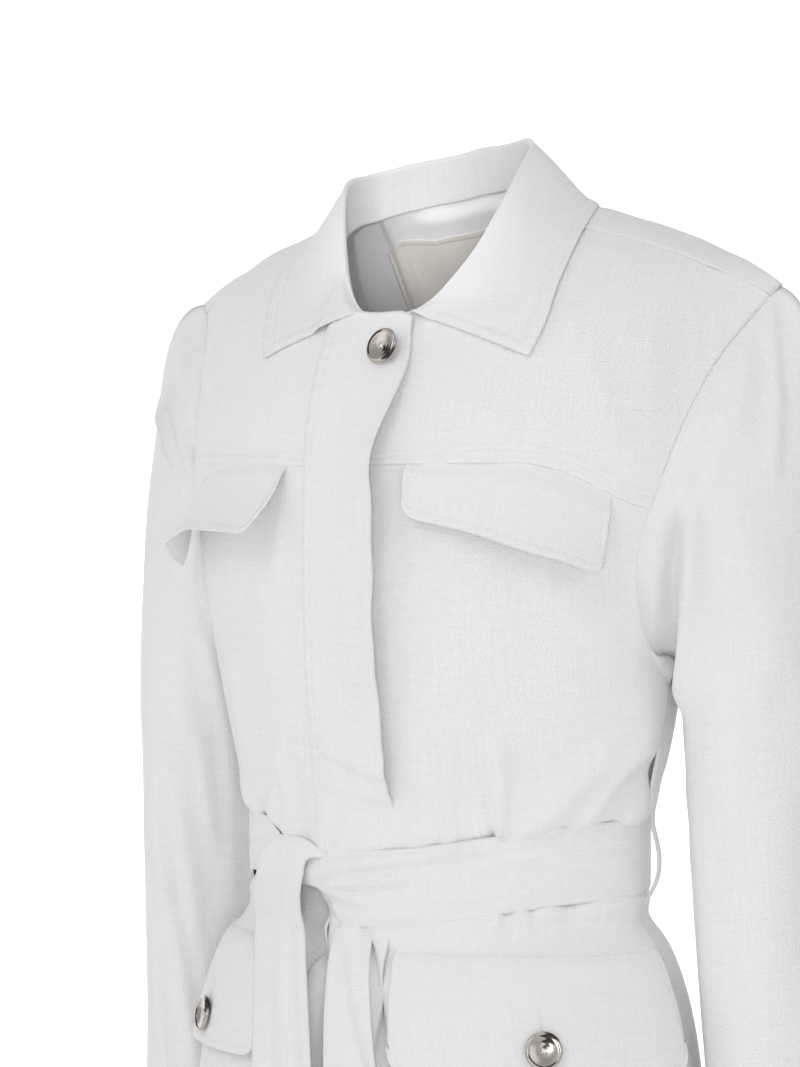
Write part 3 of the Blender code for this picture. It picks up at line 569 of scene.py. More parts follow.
def seam_drop(turn):
    """How far the chest seam has fallen; it falls further on the wearer's left than on the right."""
    left, right = SEAM_FALL[1], SEAM_FALL[-1]
    on_left = left.drop * step(left.start, left.end, turn)
    return on_left + right.drop * step(right.start, right.end, -np.asarray(turn))


def seam_height(turn):
    return CHEST_SEAM_Z - seam_drop(turn)


def neck_front_lift(x):
    """The front neckline as a lift of the arch, from the shoulder seam down to the centre front."""
    top = CHEST_Z + arch_high(NECK_HALF) * math.sin(math.radians(SHOULDER_LIFT))
    fall = np.sqrt(np.maximum(1 - (x / NECK_HALF) ** 2, 0.0))
    height = top - (top - NECK_FRONT_Z) * fall
    return np.degrees(np.arcsin((height - CHEST_Z) / arch_high(x)))


def neck_back_lift(x):
    share = np.sqrt(np.maximum(1 - (x / NECK_HALF) ** 2, 0.0))
    return mix(SHOULDER_LIFT, NAPE_LIFT, share)


print("armhole at the crest:", round(float(armhole_x(90.0)), 4), "m out")

# %% [markdown]
# ## Cutting a sheet
#
# Every piece of cloth starts as a flat grid, as cloth comes off the loom. Each point of the grid is
# moved to its place on the form, then out or in along the normal for the piece's own relief: creases,
# seam ridges and ripples. A Solidify modifier gives the wall. The UV map named grain holds the distances
# along the cloth in metres.

# %% Grids and grain
LEVEL_STRETCH = 1.15


def grid_normals(place, flip):
    across = np.gradient(place, axis=1)
    along = np.gradient(place, axis=0)
    out = np.cross(across, along)
    out /= np.maximum(np.linalg.norm(out, axis=-1, keepdims=True), 1e-12)
    return -out if flip else out


def run_along(place, axis):
    """Distance along the rows or columns of a grid, from its middle."""
    steps = np.linalg.norm(np.diff(place, axis=axis), axis=-1)
    total = np.cumsum(steps, axis=axis)
    start = np.zeros_like(np.take(total, [0], axis=axis))
    total = np.concatenate([start, total], axis=axis)
    middle = np.take(total, [total.shape[axis] // 2], axis=axis)
    return total - middle


def grain_map(place, column):
    """Metres across and along the cloth, with heights counted on one column alone or by the level."""
    if column == "level":
        return place[..., 0], place[..., 2] * LEVEL_STRETCH
    across, along = run_along(place, 1), run_along(place, 0)
    if column is not None:
        i = int(column * (place.shape[1] - 1))
        across = across - across[:, i : i + 1]
        along = np.broadcast_to(along[:, i : i + 1], across.shape)
    return across, along


print("level grain is stretched by", LEVEL_STRETCH)

# %% Sheet maker
sheets = {}
FAR_RISE, NEAR_RISE = 0.0055, 0.0045


def finish_piece(obj, nodes):
    scene.collection.objects.link(obj)
    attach(obj, "root")
    if nodes:
        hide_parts(*nodes)


def settled(place):
    """The wearer's right shoulder sits higher at its tip, and the left one is rounder along its middle."""
    x, z = place[..., 0], place[..., 2]
    rise = FAR_RISE * step(-0.085, -0.150, x) + NEAR_RISE * hump(x, 0.158, 0.036)
    lifted = place.copy()
    lifted[..., 2] += rise * step(-0.200, -0.060, z)
    return lifted


def cut_sheet(
    name, surface, across, along, wall, material, nodes,
    flip=False, side=1.0, relief=None, grain_column=None,
):
    """A fine sheet on the form. Across and along are the shares at which the grid's lines lie."""
    bm = bmesh.new()
    bmesh.ops.create_grid(bm, x_segments=len(across) - 1, y_segments=len(along) - 1, size=0.5)
    if flip:
        bmesh.ops.reverse_faces(bm, faces=bm.faces)
    mesh = to_mesh(bm, name)
    flat = np.empty(len(mesh.vertices) * 3, dtype=np.float32)
    mesh.vertices.foreach_get("co", flat)
    flat = flat.reshape(-1, 3)
    column = np.rint((flat[:, 0] + 0.5) * (len(across) - 1)).astype(int)
    row = np.rint((flat[:, 1] + 0.5) * (len(along) - 1)).astype(int)
    u, v = np.meshgrid(across, along)
    place = settled(surface(u, v))
    cut = grain_map(place, grain_column)
    size = [float(np.ptp(run_along(place, axis))) for axis in (1, 0)]
    hand = -1.0 if flip else 1.0
    out = grid_normals(place, flip)
    if relief is not None:
        place = place + out * relief(u, v, place, out)[..., None]
        out = grid_normals(place, flip)
    mesh.vertices.foreach_set("co", place[row, column].astype(np.float32).ravel())
    grain = mesh.uv_layers.new(name="grain")
    corner = np.empty(len(mesh.loops), dtype=np.int32)
    mesh.loops.foreach_get("vertex_index", corner)
    twill_way = np.stack((hand * cut[0], cut[1]), -1)
    grain.data.foreach_set("uv", twill_way[row, column][corner].astype(np.float32).ravel())
    mesh.polygons.foreach_set("use_smooth", np.ones(len(mesh.polygons), dtype=bool))
    mesh.materials.append(material)
    mesh.update()
    obj = bpy.data.objects.new(name, mesh)
    solid = obj.modifiers.new("wall", "SOLIDIFY")
    solid.thickness = wall
    solid.offset = side
    solid.use_even_offset = False
    solid.use_quality_normals = True
    finish_piece(obj, nodes)
    quads = np.linalg.norm(np.cross(np.gradient(place, axis=1), np.gradient(place, axis=0)), axis=-1)
    area = min(float(quads[:-1, :-1].sum()), size[0] * size[1])
    face = place + out * (wall * (side + 1) / 2)
    sheets[name] = dict(obj=obj, across=across, along=along, place=face, out=out, size=size, area=area)
    print(name, len(mesh.polygons), "faces, cut", [round(s, 3) for s in size], "m, area", round(area, 4))


def even(count):
    return np.linspace(0.0, 1.0, count + 1)


def joined(*runs):
    """Shares in several even runs, each from a place to a place in a number of points."""
    last = len(runs) - 1
    parts = [np.linspace(*run) if i == last else np.linspace(*run)[:-1] for i, run in enumerate(runs)]
    return np.concatenate(parts)


print("shoulders rise by", FAR_RISE, "and", NEAR_RISE, "m")


# %% [markdown]
# ## Creases
#
# Linen creases easily, and its creases are what tells it from other white cloth. Each one is listed:
# its two ends in the photograph's frame, its depth, its half width in pixels and how much it widens along
# its run. A crease lifts a ridge and sinks the cloth beside it, and dies away at its ends; one of negative
# depth is a valley. Only cloth that faces the camera takes these. All the cloth has soft ripples besides,
# from a few waves of fixed phase.

# %% Creases and ripples
Crease = namedtuple("Crease", "u1 v1 u2 v2 depth width spread", defaults=(1.0,))
CREASE_SCALE = 1.25
WAVES = 14


def crease_lift(creases, place, out):
    u, v = in_photo(place)
    total = np.zeros(place.shape[:-1])
    for fold in creases:
        run_u, run_v = fold.u2 - fold.u1, fold.v2 - fold.v1
        length = math.hypot(run_u, run_v)
        along = ((u - fold.u1) * run_u + (v - fold.v1) * run_v) / length**2
        width = fold.width * mix(1.0, fold.spread, np.clip(along, 0.0, 1.0))
        across = ((u - fold.u1) * run_v - (v - fold.v1) * run_u) / length / width
        fade = step(-0.12, 0.22, along) * step(1.12, 0.78, along)
        ridge = np.exp(-across * across) - 0.45 * np.exp(-(((across - 1.7) / 1.2) ** 2))
        total += CREASE_SCALE * fold.depth * fade * ridge
    return total * step(0.0, 0.35, out @ to_camera)


def ripple(first, second, seed, longest, shortest, upright=0.6):
    """A few waves of fixed phase, mostly running up and down the cloth."""
    chance = np.random.default_rng(seed)
    total = np.zeros(np.shape(first))
    for i in range(WAVES):
        wave = longest * (shortest / longest) ** (i / (WAVES - 1))
        lean = chance.normal(0.0, 1.0) * (1.0 - upright) * 1.2
        phase = chance.uniform(0.0, 2 * math.pi)
        across = first * math.cos(lean) + second * math.sin(lean)
        total += (wave / longest) * np.sin(2 * math.pi / wave * across + phase)
    return total / 3.0


def seam_sink(share, metres, reach, depth):
    """Cloth dips towards a seam."""
    return -depth * np.exp(-((share * metres / reach) ** 2))


print("creases are scaled by", CREASE_SCALE, "and ripples have", WAVES, "waves")


# %% [markdown]
# ## The two lower fronts
#
# The lower fronts run from the hem to the chest seam. The belt draws them in, so soft pleats rise and
# fall from it.

# %% Creases of the lower fronts
FRONT_CREASES = (
    Crease(505, 850, 496, 735, 0.0054, 4, 3.6),
    Crease(450, 850, 446, 730, 0.0020, 6, 2.0),
    Crease(470, 846, 476, 760, -0.0016, 14, 1.4),
    Crease(424, 760, 420, 846, 0.0010, 9),
    Crease(474, 700, 478, 800, 0.0008, 14),
    Crease(628, 742, 516, 836, 0.0044, 18, 0.5),
    Crease(654, 734, 566, 836, 0.0040, 12, 0.5),
    Crease(574, 812, 564, 840, 0.0022, 5),
    Crease(652, 780, 612, 834, 0.0018, 9),
    Crease(452, 700, 480, 590, 0.0010, 26),
    Crease(610, 610, 560, 700, 0.0014, 30),
    Crease(494, 900, 499, 937, 0.0028, 5),
    Crease(519, 898, 527, 936, 0.0026, 5),
    Crease(545, 898, 560, 940, 0.0012, 9),
    Crease(640, 880, 655, 960, 0.0012, 10),
)
FAR_FRONT_CREASES = (
    Crease(254, 798, 228, 630, 0.0024, 7),
    Crease(282, 842, 252, 790, 0.0024, 6),
    Crease(278, 740, 299, 844, 0.0026, 6),
    Crease(266, 846, 250, 800, 0.0022, 4),
    Crease(284, 846, 274, 780, 0.0018, 5),
    Crease(304, 846, 308, 790, 0.0014, 6),
    Crease(246, 846, 240, 790, 0.0018, 5),
    Crease(262, 600, 275, 700, 0.0008, 12),
)
print("front creases:", len(FRONT_CREASES), "near and", len(FAR_FRONT_CREASES), "far")

# %% How the belt shapes the cloth
BELT_LEFT_RISE, BELT_RIGHT_RISE = 0.0075, 0.0155
PUFF_AWAY, PUFF_ABOVE, PUFF_BELOW = 0.031, 0.0068, 0.0082
WAIST_WIDE, WAIST_DEEP = 0.146, 0.101


def belt_middle(turn):
    """The belt's middle line: it sags at the knot and sits higher on the wearer's two sides."""
    turn = turn_apart(turn, 0.0)
    left_rise = BELT_LEFT_RISE * step(0.0, 62.0, turn) * step(180.0, 105.0, turn)
    knot_rise = BELT_RIGHT_RISE * step(-88.0, -54.0, turn) * step(-28.0, -42.0, turn)
    return BELT_Z - belt_drop(turn) + left_rise + knot_rise


def over_belt(place):
    """Cloth drawn in by the belt stands out again just above and below it, least above it on the far side."""
    turn = np.degrees(np.arctan2(place[..., 0] / WAIST_WIDE, -place[..., 1] / WAIST_DEEP))
    middle = belt_middle(turn)
    far = step(-22.0, -45.0, turn) * step(-150.0, -95.0, turn)
    above = PUFF_ABOVE * hump(place[..., 2], middle + PUFF_AWAY, 0.012) * mix(1.0, 0.65, far)
    return above + PUFF_BELOW * hump(place[..., 2], middle - PUFF_AWAY, 0.010)


Groove = namedtuple("Groove", "u1 v1 u2 v2 depth width spread")
TIE_GROOVES = (
    Groove(318, 898, 316, 1110, 0.0190, 9, 1.2),
    Groove(368, 925, 386, 1110, 0.0095, 6, 2.0),
)


def tie_grooves(place, out):
    """The cloth falls back between the belt's two hanging ends, and beside the second one."""
    u, v = in_photo(place)
    total = np.zeros(place.shape[:-1])
    for groove in TIE_GROOVES:
        share = (v - groove.v1) / (groove.v2 - groove.v1)
        width = groove.width * mix(1.0, groove.spread, np.clip(share, 0.0, 1.0))
        across = (u - mix(groove.u1, groove.u2, share)) / width
        total -= groove.depth * np.exp(-across * across) * step(-0.04, 0.12, share) * step(1.3, 0.9, share)
    return total * step(0.0, 0.35, out @ to_camera)


print("belt height at front and sides:", np.round(belt_middle(np.array([0.0, 90.0, -90.0])), 4).tolist())

# %% Lower fronts
LEFT_EDGE_X, RIGHT_EDGE_X = -0.022, -0.034
LINEN_WALL = 0.0013
TUCK = 0.0030


def front_panel(side, edge_x):
    gap = math.degrees(SEAM / 2 / half_width(UNDERARM_Z))

    def point(u, v):
        nominal = mix(HEM_Z, CHEST_Z, v)
        weight = step(-0.300, CHEST_Z, nominal)
        top = weight * (CHEST_SEAM_Z - CHEST_Z + TUCK)
        last = nominal + top - SEAM_FALL[side].drop * weight
        end = end_turn(last, True) - gap
        first = np.degrees(np.arcsin(edge_x / half_width(np.minimum(nominal, CHEST_Z))))
        turn = mix(first, end, u)
        fall = seam_drop(side * turn) / seam_drop(side * end) * SEAM_FALL[side].drop
        height = nominal + top - fall * weight
        above = front_point(half_width(CHEST_Z) * np.sin(np.radians(turn)), height)
        below = ring_point(side * turn, height)
        below[..., 0] *= side
        place = np.where((height > CHEST_Z)[..., None], above, below)
        place[..., 0] *= side
        return place

    return point


def front_relief(creases, seed):
    def relief(u, v, place, out):
        lift = crease_lift(creases, place, out)
        lift += 0.0006 * ripple(place[..., 0], place[..., 2], seed, longest=0.09, shortest=0.02)
        lift += over_belt(place) + tie_grooves(place, out)
        lift += seam_sink(1 - v, metres=0.51, reach=0.0022, depth=0.0015)
        return lift + seam_sink(1 - u, metres=0.25, reach=0.004, depth=0.0002)

    return relief


def front_rows(count):
    return joined((0.0, 0.985, count), (0.985, 1.0, 14))


cut_sheet(
    "cloth_front_left", front_panel(1, LEFT_EDGE_X), even(140), front_rows(250), LINEN_WALL, linen,
    ["front_left"], relief=front_relief(FRONT_CREASES, 11), grain_column=0.0,
)
cut_sheet(
    "cloth_front_right", front_panel(-1, -RIGHT_EDGE_X), even(84), front_rows(210), LINEN_WALL, linen,
    ["front_right"], flip=True, relief=front_relief(FAR_FRONT_CREASES, 12), grain_column=0.0,
)

# %% [markdown]
# ## The upper fronts
#
# The upper fronts lie over the lower ones at the chest seam. Their lower edge is folded under and
# stitched about six millimetres up, which makes a flat raised band.

# %% Upper fronts
NECK_SHARE = 0.42
YOKE_HIGH, BAND = 0.155, 0.0062
YOKE_CREASES = (
    Crease(575, 330, 610, 440, 0.0010, 20),
    Crease(660, 330, 640, 420, 0.0009, 16),
    Crease(470, 400, 520, 440, 0.0007, 16),
)
FAR_YOKE_CREASES = (
    Crease(192, 459, 288, 460, 0.0015, 3),
    Crease(212, 330, 220, 440, 0.0010, 10),
    Crease(280, 380, 260, 450, 0.0006, 16),
)


def yoke_panel(side, edge_x):
    wide = half_width(CHEST_Z)
    last_turn = end_turn(CHEST_SEAM_Z - SEAM_FALL[side].drop, True)
    first_turn = np.degrees(np.arcsin(edge_x / wide))
    neck_from = math.asin(edge_x / NECK_HALF)
    tip_lift = SHOULDER_LIFT + math.degrees(TUCK / 0.15)
    tip_x = armhole_x(tip_lift)

    def point(u, v):
        turn = mix(first_turn, last_turn, u)
        low_x = wide * np.sin(np.radians(turn))
        low = seam_height(side * turn) - CHEST_Z + SEAM
        neck_x = NECK_HALF * np.sin(mix(neck_from, math.pi / 2, np.minimum(u / NECK_SHARE, 1.0)))
        on_neck = u < NECK_SHARE
        along_seam = (u - NECK_SHARE) / (1 - NECK_SHARE)
        high_x = np.where(on_neck, neck_x, mix(NECK_HALF, tip_x, along_seam))
        high_lift = np.where(on_neck, np.minimum(neck_front_lift(neck_x), tip_lift), tip_lift)
        high = arch_high(high_x) * np.radians(high_lift)
        level = mix(low, high, v)
        share = np.maximum(level, 0.0) / high
        dip = CHEST_Z + np.minimum(level, 0.0)
        edge = np.where(level < 0, armhole_out(dip) / half_width(dip) * wide, armhole_x(share * tip_lift))
        straight = mix(wide * np.sin(np.radians(last_turn)), tip_x, v)
        x = mix(low_x, high_x, v) + step(0.5, 1.0, u) * (edge - straight)
        below = smooth_ring(np.degrees(np.arcsin(np.clip(x / wide, -1.0, 1.0))), dip)
        place = np.where((level < 0)[..., None], below, arch_point(x, share * high_lift))
        place[..., 0] *= side
        return place

    return point


def yoke_relief(creases, seed):
    def relief(u, v, place, out):
        up = v * YOKE_HIGH
        band = 0.0009 * hump(up, 0.0014, 0.0015) + 0.0009 * hump(up, BAND + 0.0014, 0.0014)
        pucker = 0.00014 * np.sin(place[..., 0] * 900) * step(BAND + 0.004, BAND, up)
        lift = band + pucker + crease_lift(creases, place, out)
        lift += 0.0005 * ripple(place[..., 0], place[..., 2], seed, longest=0.08, shortest=0.02)
        lift += seam_sink(1 - u, metres=0.2, reach=0.004, depth=0.0002)
        return lift + seam_sink(1 - v, metres=0.15, reach=0.0022, depth=0.0015)

    return relief


yoke_rows = joined((0.0, 0.130, 27), (0.130, 0.96, 56), (0.96, 1.0, 12))
cut_sheet(
    "cloth_yoke_left", yoke_panel(1, LEFT_EDGE_X), even(100), yoke_rows, LINEN_WALL, linen,
    ["yoke_left"], relief=yoke_relief(YOKE_CREASES, 21), grain_column="level",
)
cut_sheet(
    "cloth_yoke_right", yoke_panel(-1, -RIGHT_EDGE_X), even(90), yoke_rows, LINEN_WALL, linen,
    ["yoke_right"], flip=True, relief=yoke_relief(FAR_YOKE_CREASES, 22), grain_column="level",
)

# %% [markdown]
# ## The back
#
# The back is out of the photograph's sight, so it is finished plainly: one piece from the hem to the
# neck, with a strap over each shoulder to the seam in front of the crest.

# %% Back
BACK_NECK_SHARE = 0.36
BACK_LOWER = 0.66
BACK_CREASES = (
    Crease(640, 240, 730, 275, 0.0008, 9),
)


def back_panel():
    gap = math.degrees(SEAM / 2 / back_width(UNDERARM_Z))
    strap_lift = SHOULDER_LIFT + math.degrees(SEAM / 0.15)
    strap_x = armhole_x(strap_lift)
    chest_span = 180.0 - end_turn(CHEST_Z, False)

    def point(u, v):
        s = 2 * u - 1
        share = np.abs(s)
        height = mix(HEM_Z, CHEST_Z, np.minimum(v / BACK_LOWER, 1.0))
        span = 180.0 - end_turn(height, False) - gap
        lower = ring_point(180.0 - s * span, height)
        t = np.clip((v - BACK_LOWER) / (1 - BACK_LOWER), 0.0, 1.0)
        low_x = back_width(CHEST_Z) * np.sin(np.radians(share * chest_span))
        neck_x = NECK_HALF * np.sin(np.minimum(share / BACK_NECK_SHARE, 1.0) * math.pi / 2)
        on_neck = share < BACK_NECK_SHARE
        along_seam = (share - BACK_NECK_SHARE) / (1 - BACK_NECK_SHARE)
        high_x = np.where(on_neck, neck_x, mix(NECK_HALF, strap_x, along_seam))
        high_lift = np.where(on_neck, np.maximum(neck_back_lift(neck_x), strap_lift), strap_lift)
        lift = mix(180.0, high_lift, t)
        seam_x = armhole_x(mix(180.0, strap_lift, t))
        straight = mix(armhole_out(CHEST_Z), strap_x, t)
        x = mix(low_x, high_x, t) + step(0.5, 1.0, share) * (seam_x - straight)
        upper = arch_point(np.copysign(x, s), lift)
        return np.where((v <= BACK_LOWER)[..., None], lower, upper)

    return point


def back_relief(u, v, place, out):
    lift = crease_lift(BACK_CREASES, place, out)
    lift += 0.0009 * ripple(place[..., 0], place[..., 2], seed=31, longest=0.11, shortest=0.03)
    lift += over_belt(place)
    lift += seam_sink(np.minimum(u, 1 - u), metres=0.4, reach=0.004, depth=0.0002)
    return lift + seam_sink(1 - v, metres=0.3, reach=0.003, depth=0.0002)


cut_sheet(
    "cloth_back", back_panel(), even(110), even(180), LINEN_WALL, linen, ["back", "back_skirt"], flip=True,
    relief=back_relief, grain_column=0.5,
)

# %% [markdown]
# ## The sleeves
#
# A sleeve leaves the armhole seam, fills out over the shoulder tip and hangs as an oval tube. Its own
# long seam lies at the underarm. The head is eased in, so short soft folds fall from it, and the elbow
# has a few drag lines. The two shoulders are not held alike, so the crests of the heads differ.

# %% Sleeve tables
Head = namedtuple("Head", "share out forward down")
HEAD = (
    Head(0.000, 0.200, 0.000, -0.012),
    Head(0.125, 0.130, -0.050, -0.040),
    Head(0.250, 0.055, -0.045, -0.070),
    Head(0.375, 0.030, -0.020, -0.050),
    Head(0.500, 0.012, 0.000, -0.030),
    Head(0.625, 0.030, 0.020, -0.050),
    Head(0.750, 0.055, 0.040, -0.070),
    Head(0.875, 0.130, 0.045, -0.040),
    Head(1.000, 0.200, 0.000, -0.012),
)
Section = namedtuple("Section", "height out depth half_width half_depth")
SLEEVE = (
    Section(-0.660, 0.2290, 0.045, 0.0405, 0.055),
    Section(-0.590, 0.2255, 0.046, 0.0430, 0.058),
    Section(-0.450, 0.2200, 0.042, 0.0465, 0.063),
    Section(-0.345, 0.2175, 0.036, 0.0475, 0.0640),
)
HEAD_PART = 0.5
ARMHOLE_GAP, HEAD_OFF = -0.0022, 0.0006
SLEEVE_ROUND = 0.34
Crest = namedtuple("Crest", "out down")
CREST = {1: Crest(-0.05, -0.030), -1: Crest(0.0, 0.035)}
SLEEVE_CREASES = (
    Crease(675, 505, 664, 715, -0.0140, 9, 1.2),
    Crease(771, 300, 777, 404, 0.0028, 6),
    Crease(777, 388, 773, 484, 0.0024, 7),
    Crease(750, 345, 733, 440, 0.0018, 12),
    Crease(724, 410, 700, 500, 0.0014, 14),
    Crease(699, 446, 666, 526, 0.0024, 8),
    Crease(667, 514, 675, 584, 0.0026, 7),
    Crease(674, 580, 684, 742, 0.0018, 8),
    Crease(694, 560, 704, 690, 0.0014, 16),
    Crease(760, 540, 700, 640, 0.0012, 22),
    Crease(790, 640, 720, 720, 0.0012, 24),
    Crease(725, 760, 745, 940, 0.0013, 22),
    Crease(775, 780, 765, 1000, 0.0013, 22),
    Crease(700, 800, 706, 1000, 0.0014, 12),
)
FAR_SLEEVE_CREASES = (
    Crease(156, 396, 184, 490, 0.0062, 5),
    Crease(168, 388, 190, 474, 0.0046, 5),
    Crease(178, 320, 190, 440, 0.0016, 8),
    Crease(176, 560, 186, 760, 0.0015, 9),
    Crease(198, 560, 214, 700, 0.0018, 8),
    Crease(212, 640, 238, 810, 0.0022, 7),
    Crease(196, 720, 216, 860, 0.0020, 8),
    Crease(150, 780, 168, 940, 0.0020, 7),
    Crease(164, 860, 198, 1070, 0.0026, 7),
    Crease(152, 900, 166, 1080, 0.0022, 6),
    Crease(180, 800, 198, 960, 0.0016, 9),
    Crease(226, 760, 232, 900, 0.0016, 7),
)
print("sleeve creases:", len(SLEEVE_CREASES), "near and", len(FAR_SLEEVE_CREASES), "far")


# %% Sleeves
def armhole_half(front):
    """Points along one half of the armhole seam, from the crest to the underarm, by share of its length."""
    lifts = mix(90.0, 0.0 if front else 180.0, np.linspace(0.0, 1.0, 41))
    upper = off_arch(armhole_x(lifts), lifts, HEAD_OFF)
    heights = mix(CHEST_Z, UNDERARM_Z, np.sin(np.linspace(0.025, 1.0, 40) * math.pi / 2))
    points = np.concatenate([upper, off_ring(end_turn(heights, front), heights, HEAD_OFF)])
    places = np.concatenate([[0.0], np.cumsum(np.linalg.norm(np.diff(points, axis=0), axis=1))])
    places /= places[-1]
    return lambda share: np.stack([np.interp(share, places, points[:, k]) for k in range(3)], axis=-1)


front_half, back_half = armhole_half(True), armhole_half(False)


def sleeve_surface(side):
    head = column_curves(HEAD)
    oval = column_curves(SLEEVE)

    def section(share, height):
        angle = 2 * math.pi * share
        x = oval["out"](height) + oval["half_width"](height) * np.cos(angle)
        y = oval["depth"](height) - oval["half_depth"](height) * np.sin(angle)
        return xyz(x, y, height)

    def point(u, v):
        share = (mix(0.0007, 0.9993, u) + 0.5) % 1.0
        loop = np.where((share <= 0.5)[..., None], front_half(share * 2), back_half(2 - share * 2))
        start = loop + np.array((ARMHOLE_GAP, 0.0, 0.0))
        finish = section(share, BICEPS_Z)
        crest = hump(share, 0.0, 0.10) + hump(share, 1.0, 0.10)
        out = head["out"](share) + CREST[side].out * crest
        leave = xyz(out, head["forward"](share), head["down"](share) + CREST[side].down * crest)
        arrive = np.zeros_like(start)
        arrive[..., 2] = -np.linalg.norm(finish - start, axis=-1)
        t = np.clip(v / HEAD_PART, 0.0, 1.0)[..., None]
        rise = t * t * (3 - 2 * t)
        upper = start + (finish - start) * rise + t * (1 - t) * ((1 - t) * leave - t * arrive)
        lower = section(share, mix(BICEPS_Z, CUFF_Z, np.clip((v - HEAD_PART) / (1 - HEAD_PART), 0.0, 1.0)))
        place = np.where((v < HEAD_PART)[..., None], upper, lower)
        place[..., 0] *= side
        return place

    return point


def sleeve_relief(creases, seed):
    def relief(u, v, place, out):
        lift = crease_lift(creases, place, out)
        around = u * SLEEVE_ROUND
        soft = ripple(around, place[..., 2], seed, longest=0.10, shortest=0.025, upright=0.75)
        lift += 0.0009 * soft * step(0.03, 0.2, v)
        drag = np.sin(place[..., 2] * 150 + around * 30) * hump(place[..., 2], -0.40, 0.05)
        lift += 0.0009 * drag * step(0.0, 0.3, -(out @ to_camera))
        cuff = 0.0006 * step(0.975, 0.985, v)
        return lift + seam_sink(v, metres=0.62, reach=0.004, depth=0.0003) + cuff

    return relief


sleeve_rows = joined((0.0, 0.5, 106), (0.5, 1.0, 101))
cut_sheet(
    "cloth_sleeve_left", sleeve_surface(1), even(110), sleeve_rows, LINEN_WALL, linen,
    ["sleeve_left"], side=-1.0, relief=sleeve_relief(SLEEVE_CREASES, 41),
)
cut_sheet(
    "cloth_sleeve_right", sleeve_surface(-1), even(100), sleeve_rows, LINEN_WALL, linen,
    ["sleeve_right"], flip=True, side=-1.0, relief=sleeve_relief(FAR_SLEEVE_CREASES, 42),
)

# %% [markdown]
# ## The collar
#
# The collar is one folded piece: it stands up from the neck seam, rolls over at the fold and falls to
# its two points. Its face is the inside of the stand and the outside of the leaf, so the sheet follows
# that face and grows inwards. A row of stitches runs eight millimetres from the edge and presses a flat
# band.

# %% Collar tables
Stand = namedtuple("Stand", "share height lean")
STAND_LEFT = (
    Stand(0.000, 0.045, 0.004),
    Stand(0.170, 0.0445, 0.006),
    Stand(0.330, 0.0385, 0.010),
    Stand(0.500, 0.033, 0.012),
    Stand(0.656, 0.025, 0.009),
    Stand(0.790, 0.012, 0.004),
    Stand(0.896, 0.005, 0.001),
    Stand(1.000, 0.003, 0.000),
)
STAND_RIGHT = (
    Stand(0.000, 0.045, 0.004),
    Stand(0.170, 0.038, 0.004),
    Stand(0.330, 0.029, 0.003),
    Stand(0.500, 0.038, 0.002),
    Stand(0.656, 0.031, 0.008),
    Stand(0.790, 0.012, 0.008),
    Stand(0.896, 0.005, 0.004),
    Stand(1.000, 0.003, 0.000),
)
Leaf = namedtuple("Leaf", "share out lift off roll")
LEAF = (
    Leaf(0.000, 0.000, 124.0, 0.0060, 0.010),
    Leaf(0.170, 0.045, 122.0, 0.0060, 0.010),
    Leaf(0.330, 0.080, 112.0, 0.0035, 0.004),
    Leaf(0.500, 0.099, 90.0, 0.0014, 0.002),
    Leaf(0.656, 0.108, 64.0, 0.0012, 0.005),
    Leaf(0.790, 0.111, 46.0, 0.0012, 0.005),
    Leaf(0.896, 0.109, 36.0, 0.0012, 0.004),
    Leaf(1.000, 0.100, 25.7, 0.0012, 0.002),
)
COLLAR_END_X, NECK_AXIS_Y = 0.0165, -0.018
LEAF_WALL, COLLAR_WALL, COLLAR_BAND = 0.0018, 0.0015, 0.0082
FOLD_FROM, FOLD_TO, SMOOTHINGS = 0.26, 0.36, 14
stand_high = [column_curve(table, "height") for table in (STAND_RIGHT, STAND_LEFT)]
stand_lean = [column_curve(table, "lean") for table in (STAND_RIGHT, STAND_LEFT)]
leaf_columns = column_curves(LEAF)
print("collar fold from", FOLD_FROM, "to", FOLD_TO, "of its depth")


# %% The collar's stand
def neck_seam(s):
    """The neckline at a signed share from the nape: 0 nape, 1 the left front end."""
    share = np.abs(s)
    back_x = NECK_HALF * np.sin(np.minimum(share, 0.5) * math.pi)
    last = math.asin(COLLAR_END_X / NECK_HALF)
    front_x = NECK_HALF * np.sin(mix(math.pi / 2, last, np.clip(share - 0.5, 0.0, 0.5) * 2))
    behind = arch_point(back_x, neck_back_lift(back_x))
    ahead = arch_point(front_x, neck_front_lift(front_x))
    place = np.where((share < 0.5)[..., None], behind, ahead)
    place[..., 0] = np.copysign(place[..., 0], s)
    return place


def neck_inward(place):
    inward = xyz(-place[..., 0], NECK_AXIS_Y - place[..., 1], 0.0)
    return inward / np.linalg.norm(inward, axis=-1, keepdims=True)


def stand_height(s):
    share = np.abs(s)
    high = np.where(s >= 0, stand_high[1](share), stand_high[0](share)) - 0.0030 * hump(s, -0.44, 0.05)
    behind = step(-0.60, -0.44, s) * step(0.42, 0.30, s)
    return high - behind * mix(0.0062, 0.0036, step(-0.22, 0.02, s))


def stand_foot(s):
    """Where the lining meets the stand, above or below the neck seam."""
    above = 0.0128 * hump(s, 0.12, 0.28)
    return above - 0.0085 * hump(s, -0.36, 0.10) - 0.0036 * hump(s, -0.24, 0.08)


def end_drop(s):
    """The collar's front ends lie a little below the neck seam, over the fly's top."""
    return 0.0090 * step(0.80, 1.0, np.abs(s))


def stand_point(s, v):
    seam = neck_seam(s)
    inward = neck_inward(seam)
    share = np.abs(s)
    lean = np.where(s >= 0, stand_lean[1](share), stand_lean[0](share))
    place = seam + inward * (0.0018 + lean * v)[..., None]
    place[..., 2] += 0.0016 + stand_height(s) * v - end_drop(s)
    return place


print("stand at the nape:", round(float(stand_height(np.array(0.0))), 4), "m")


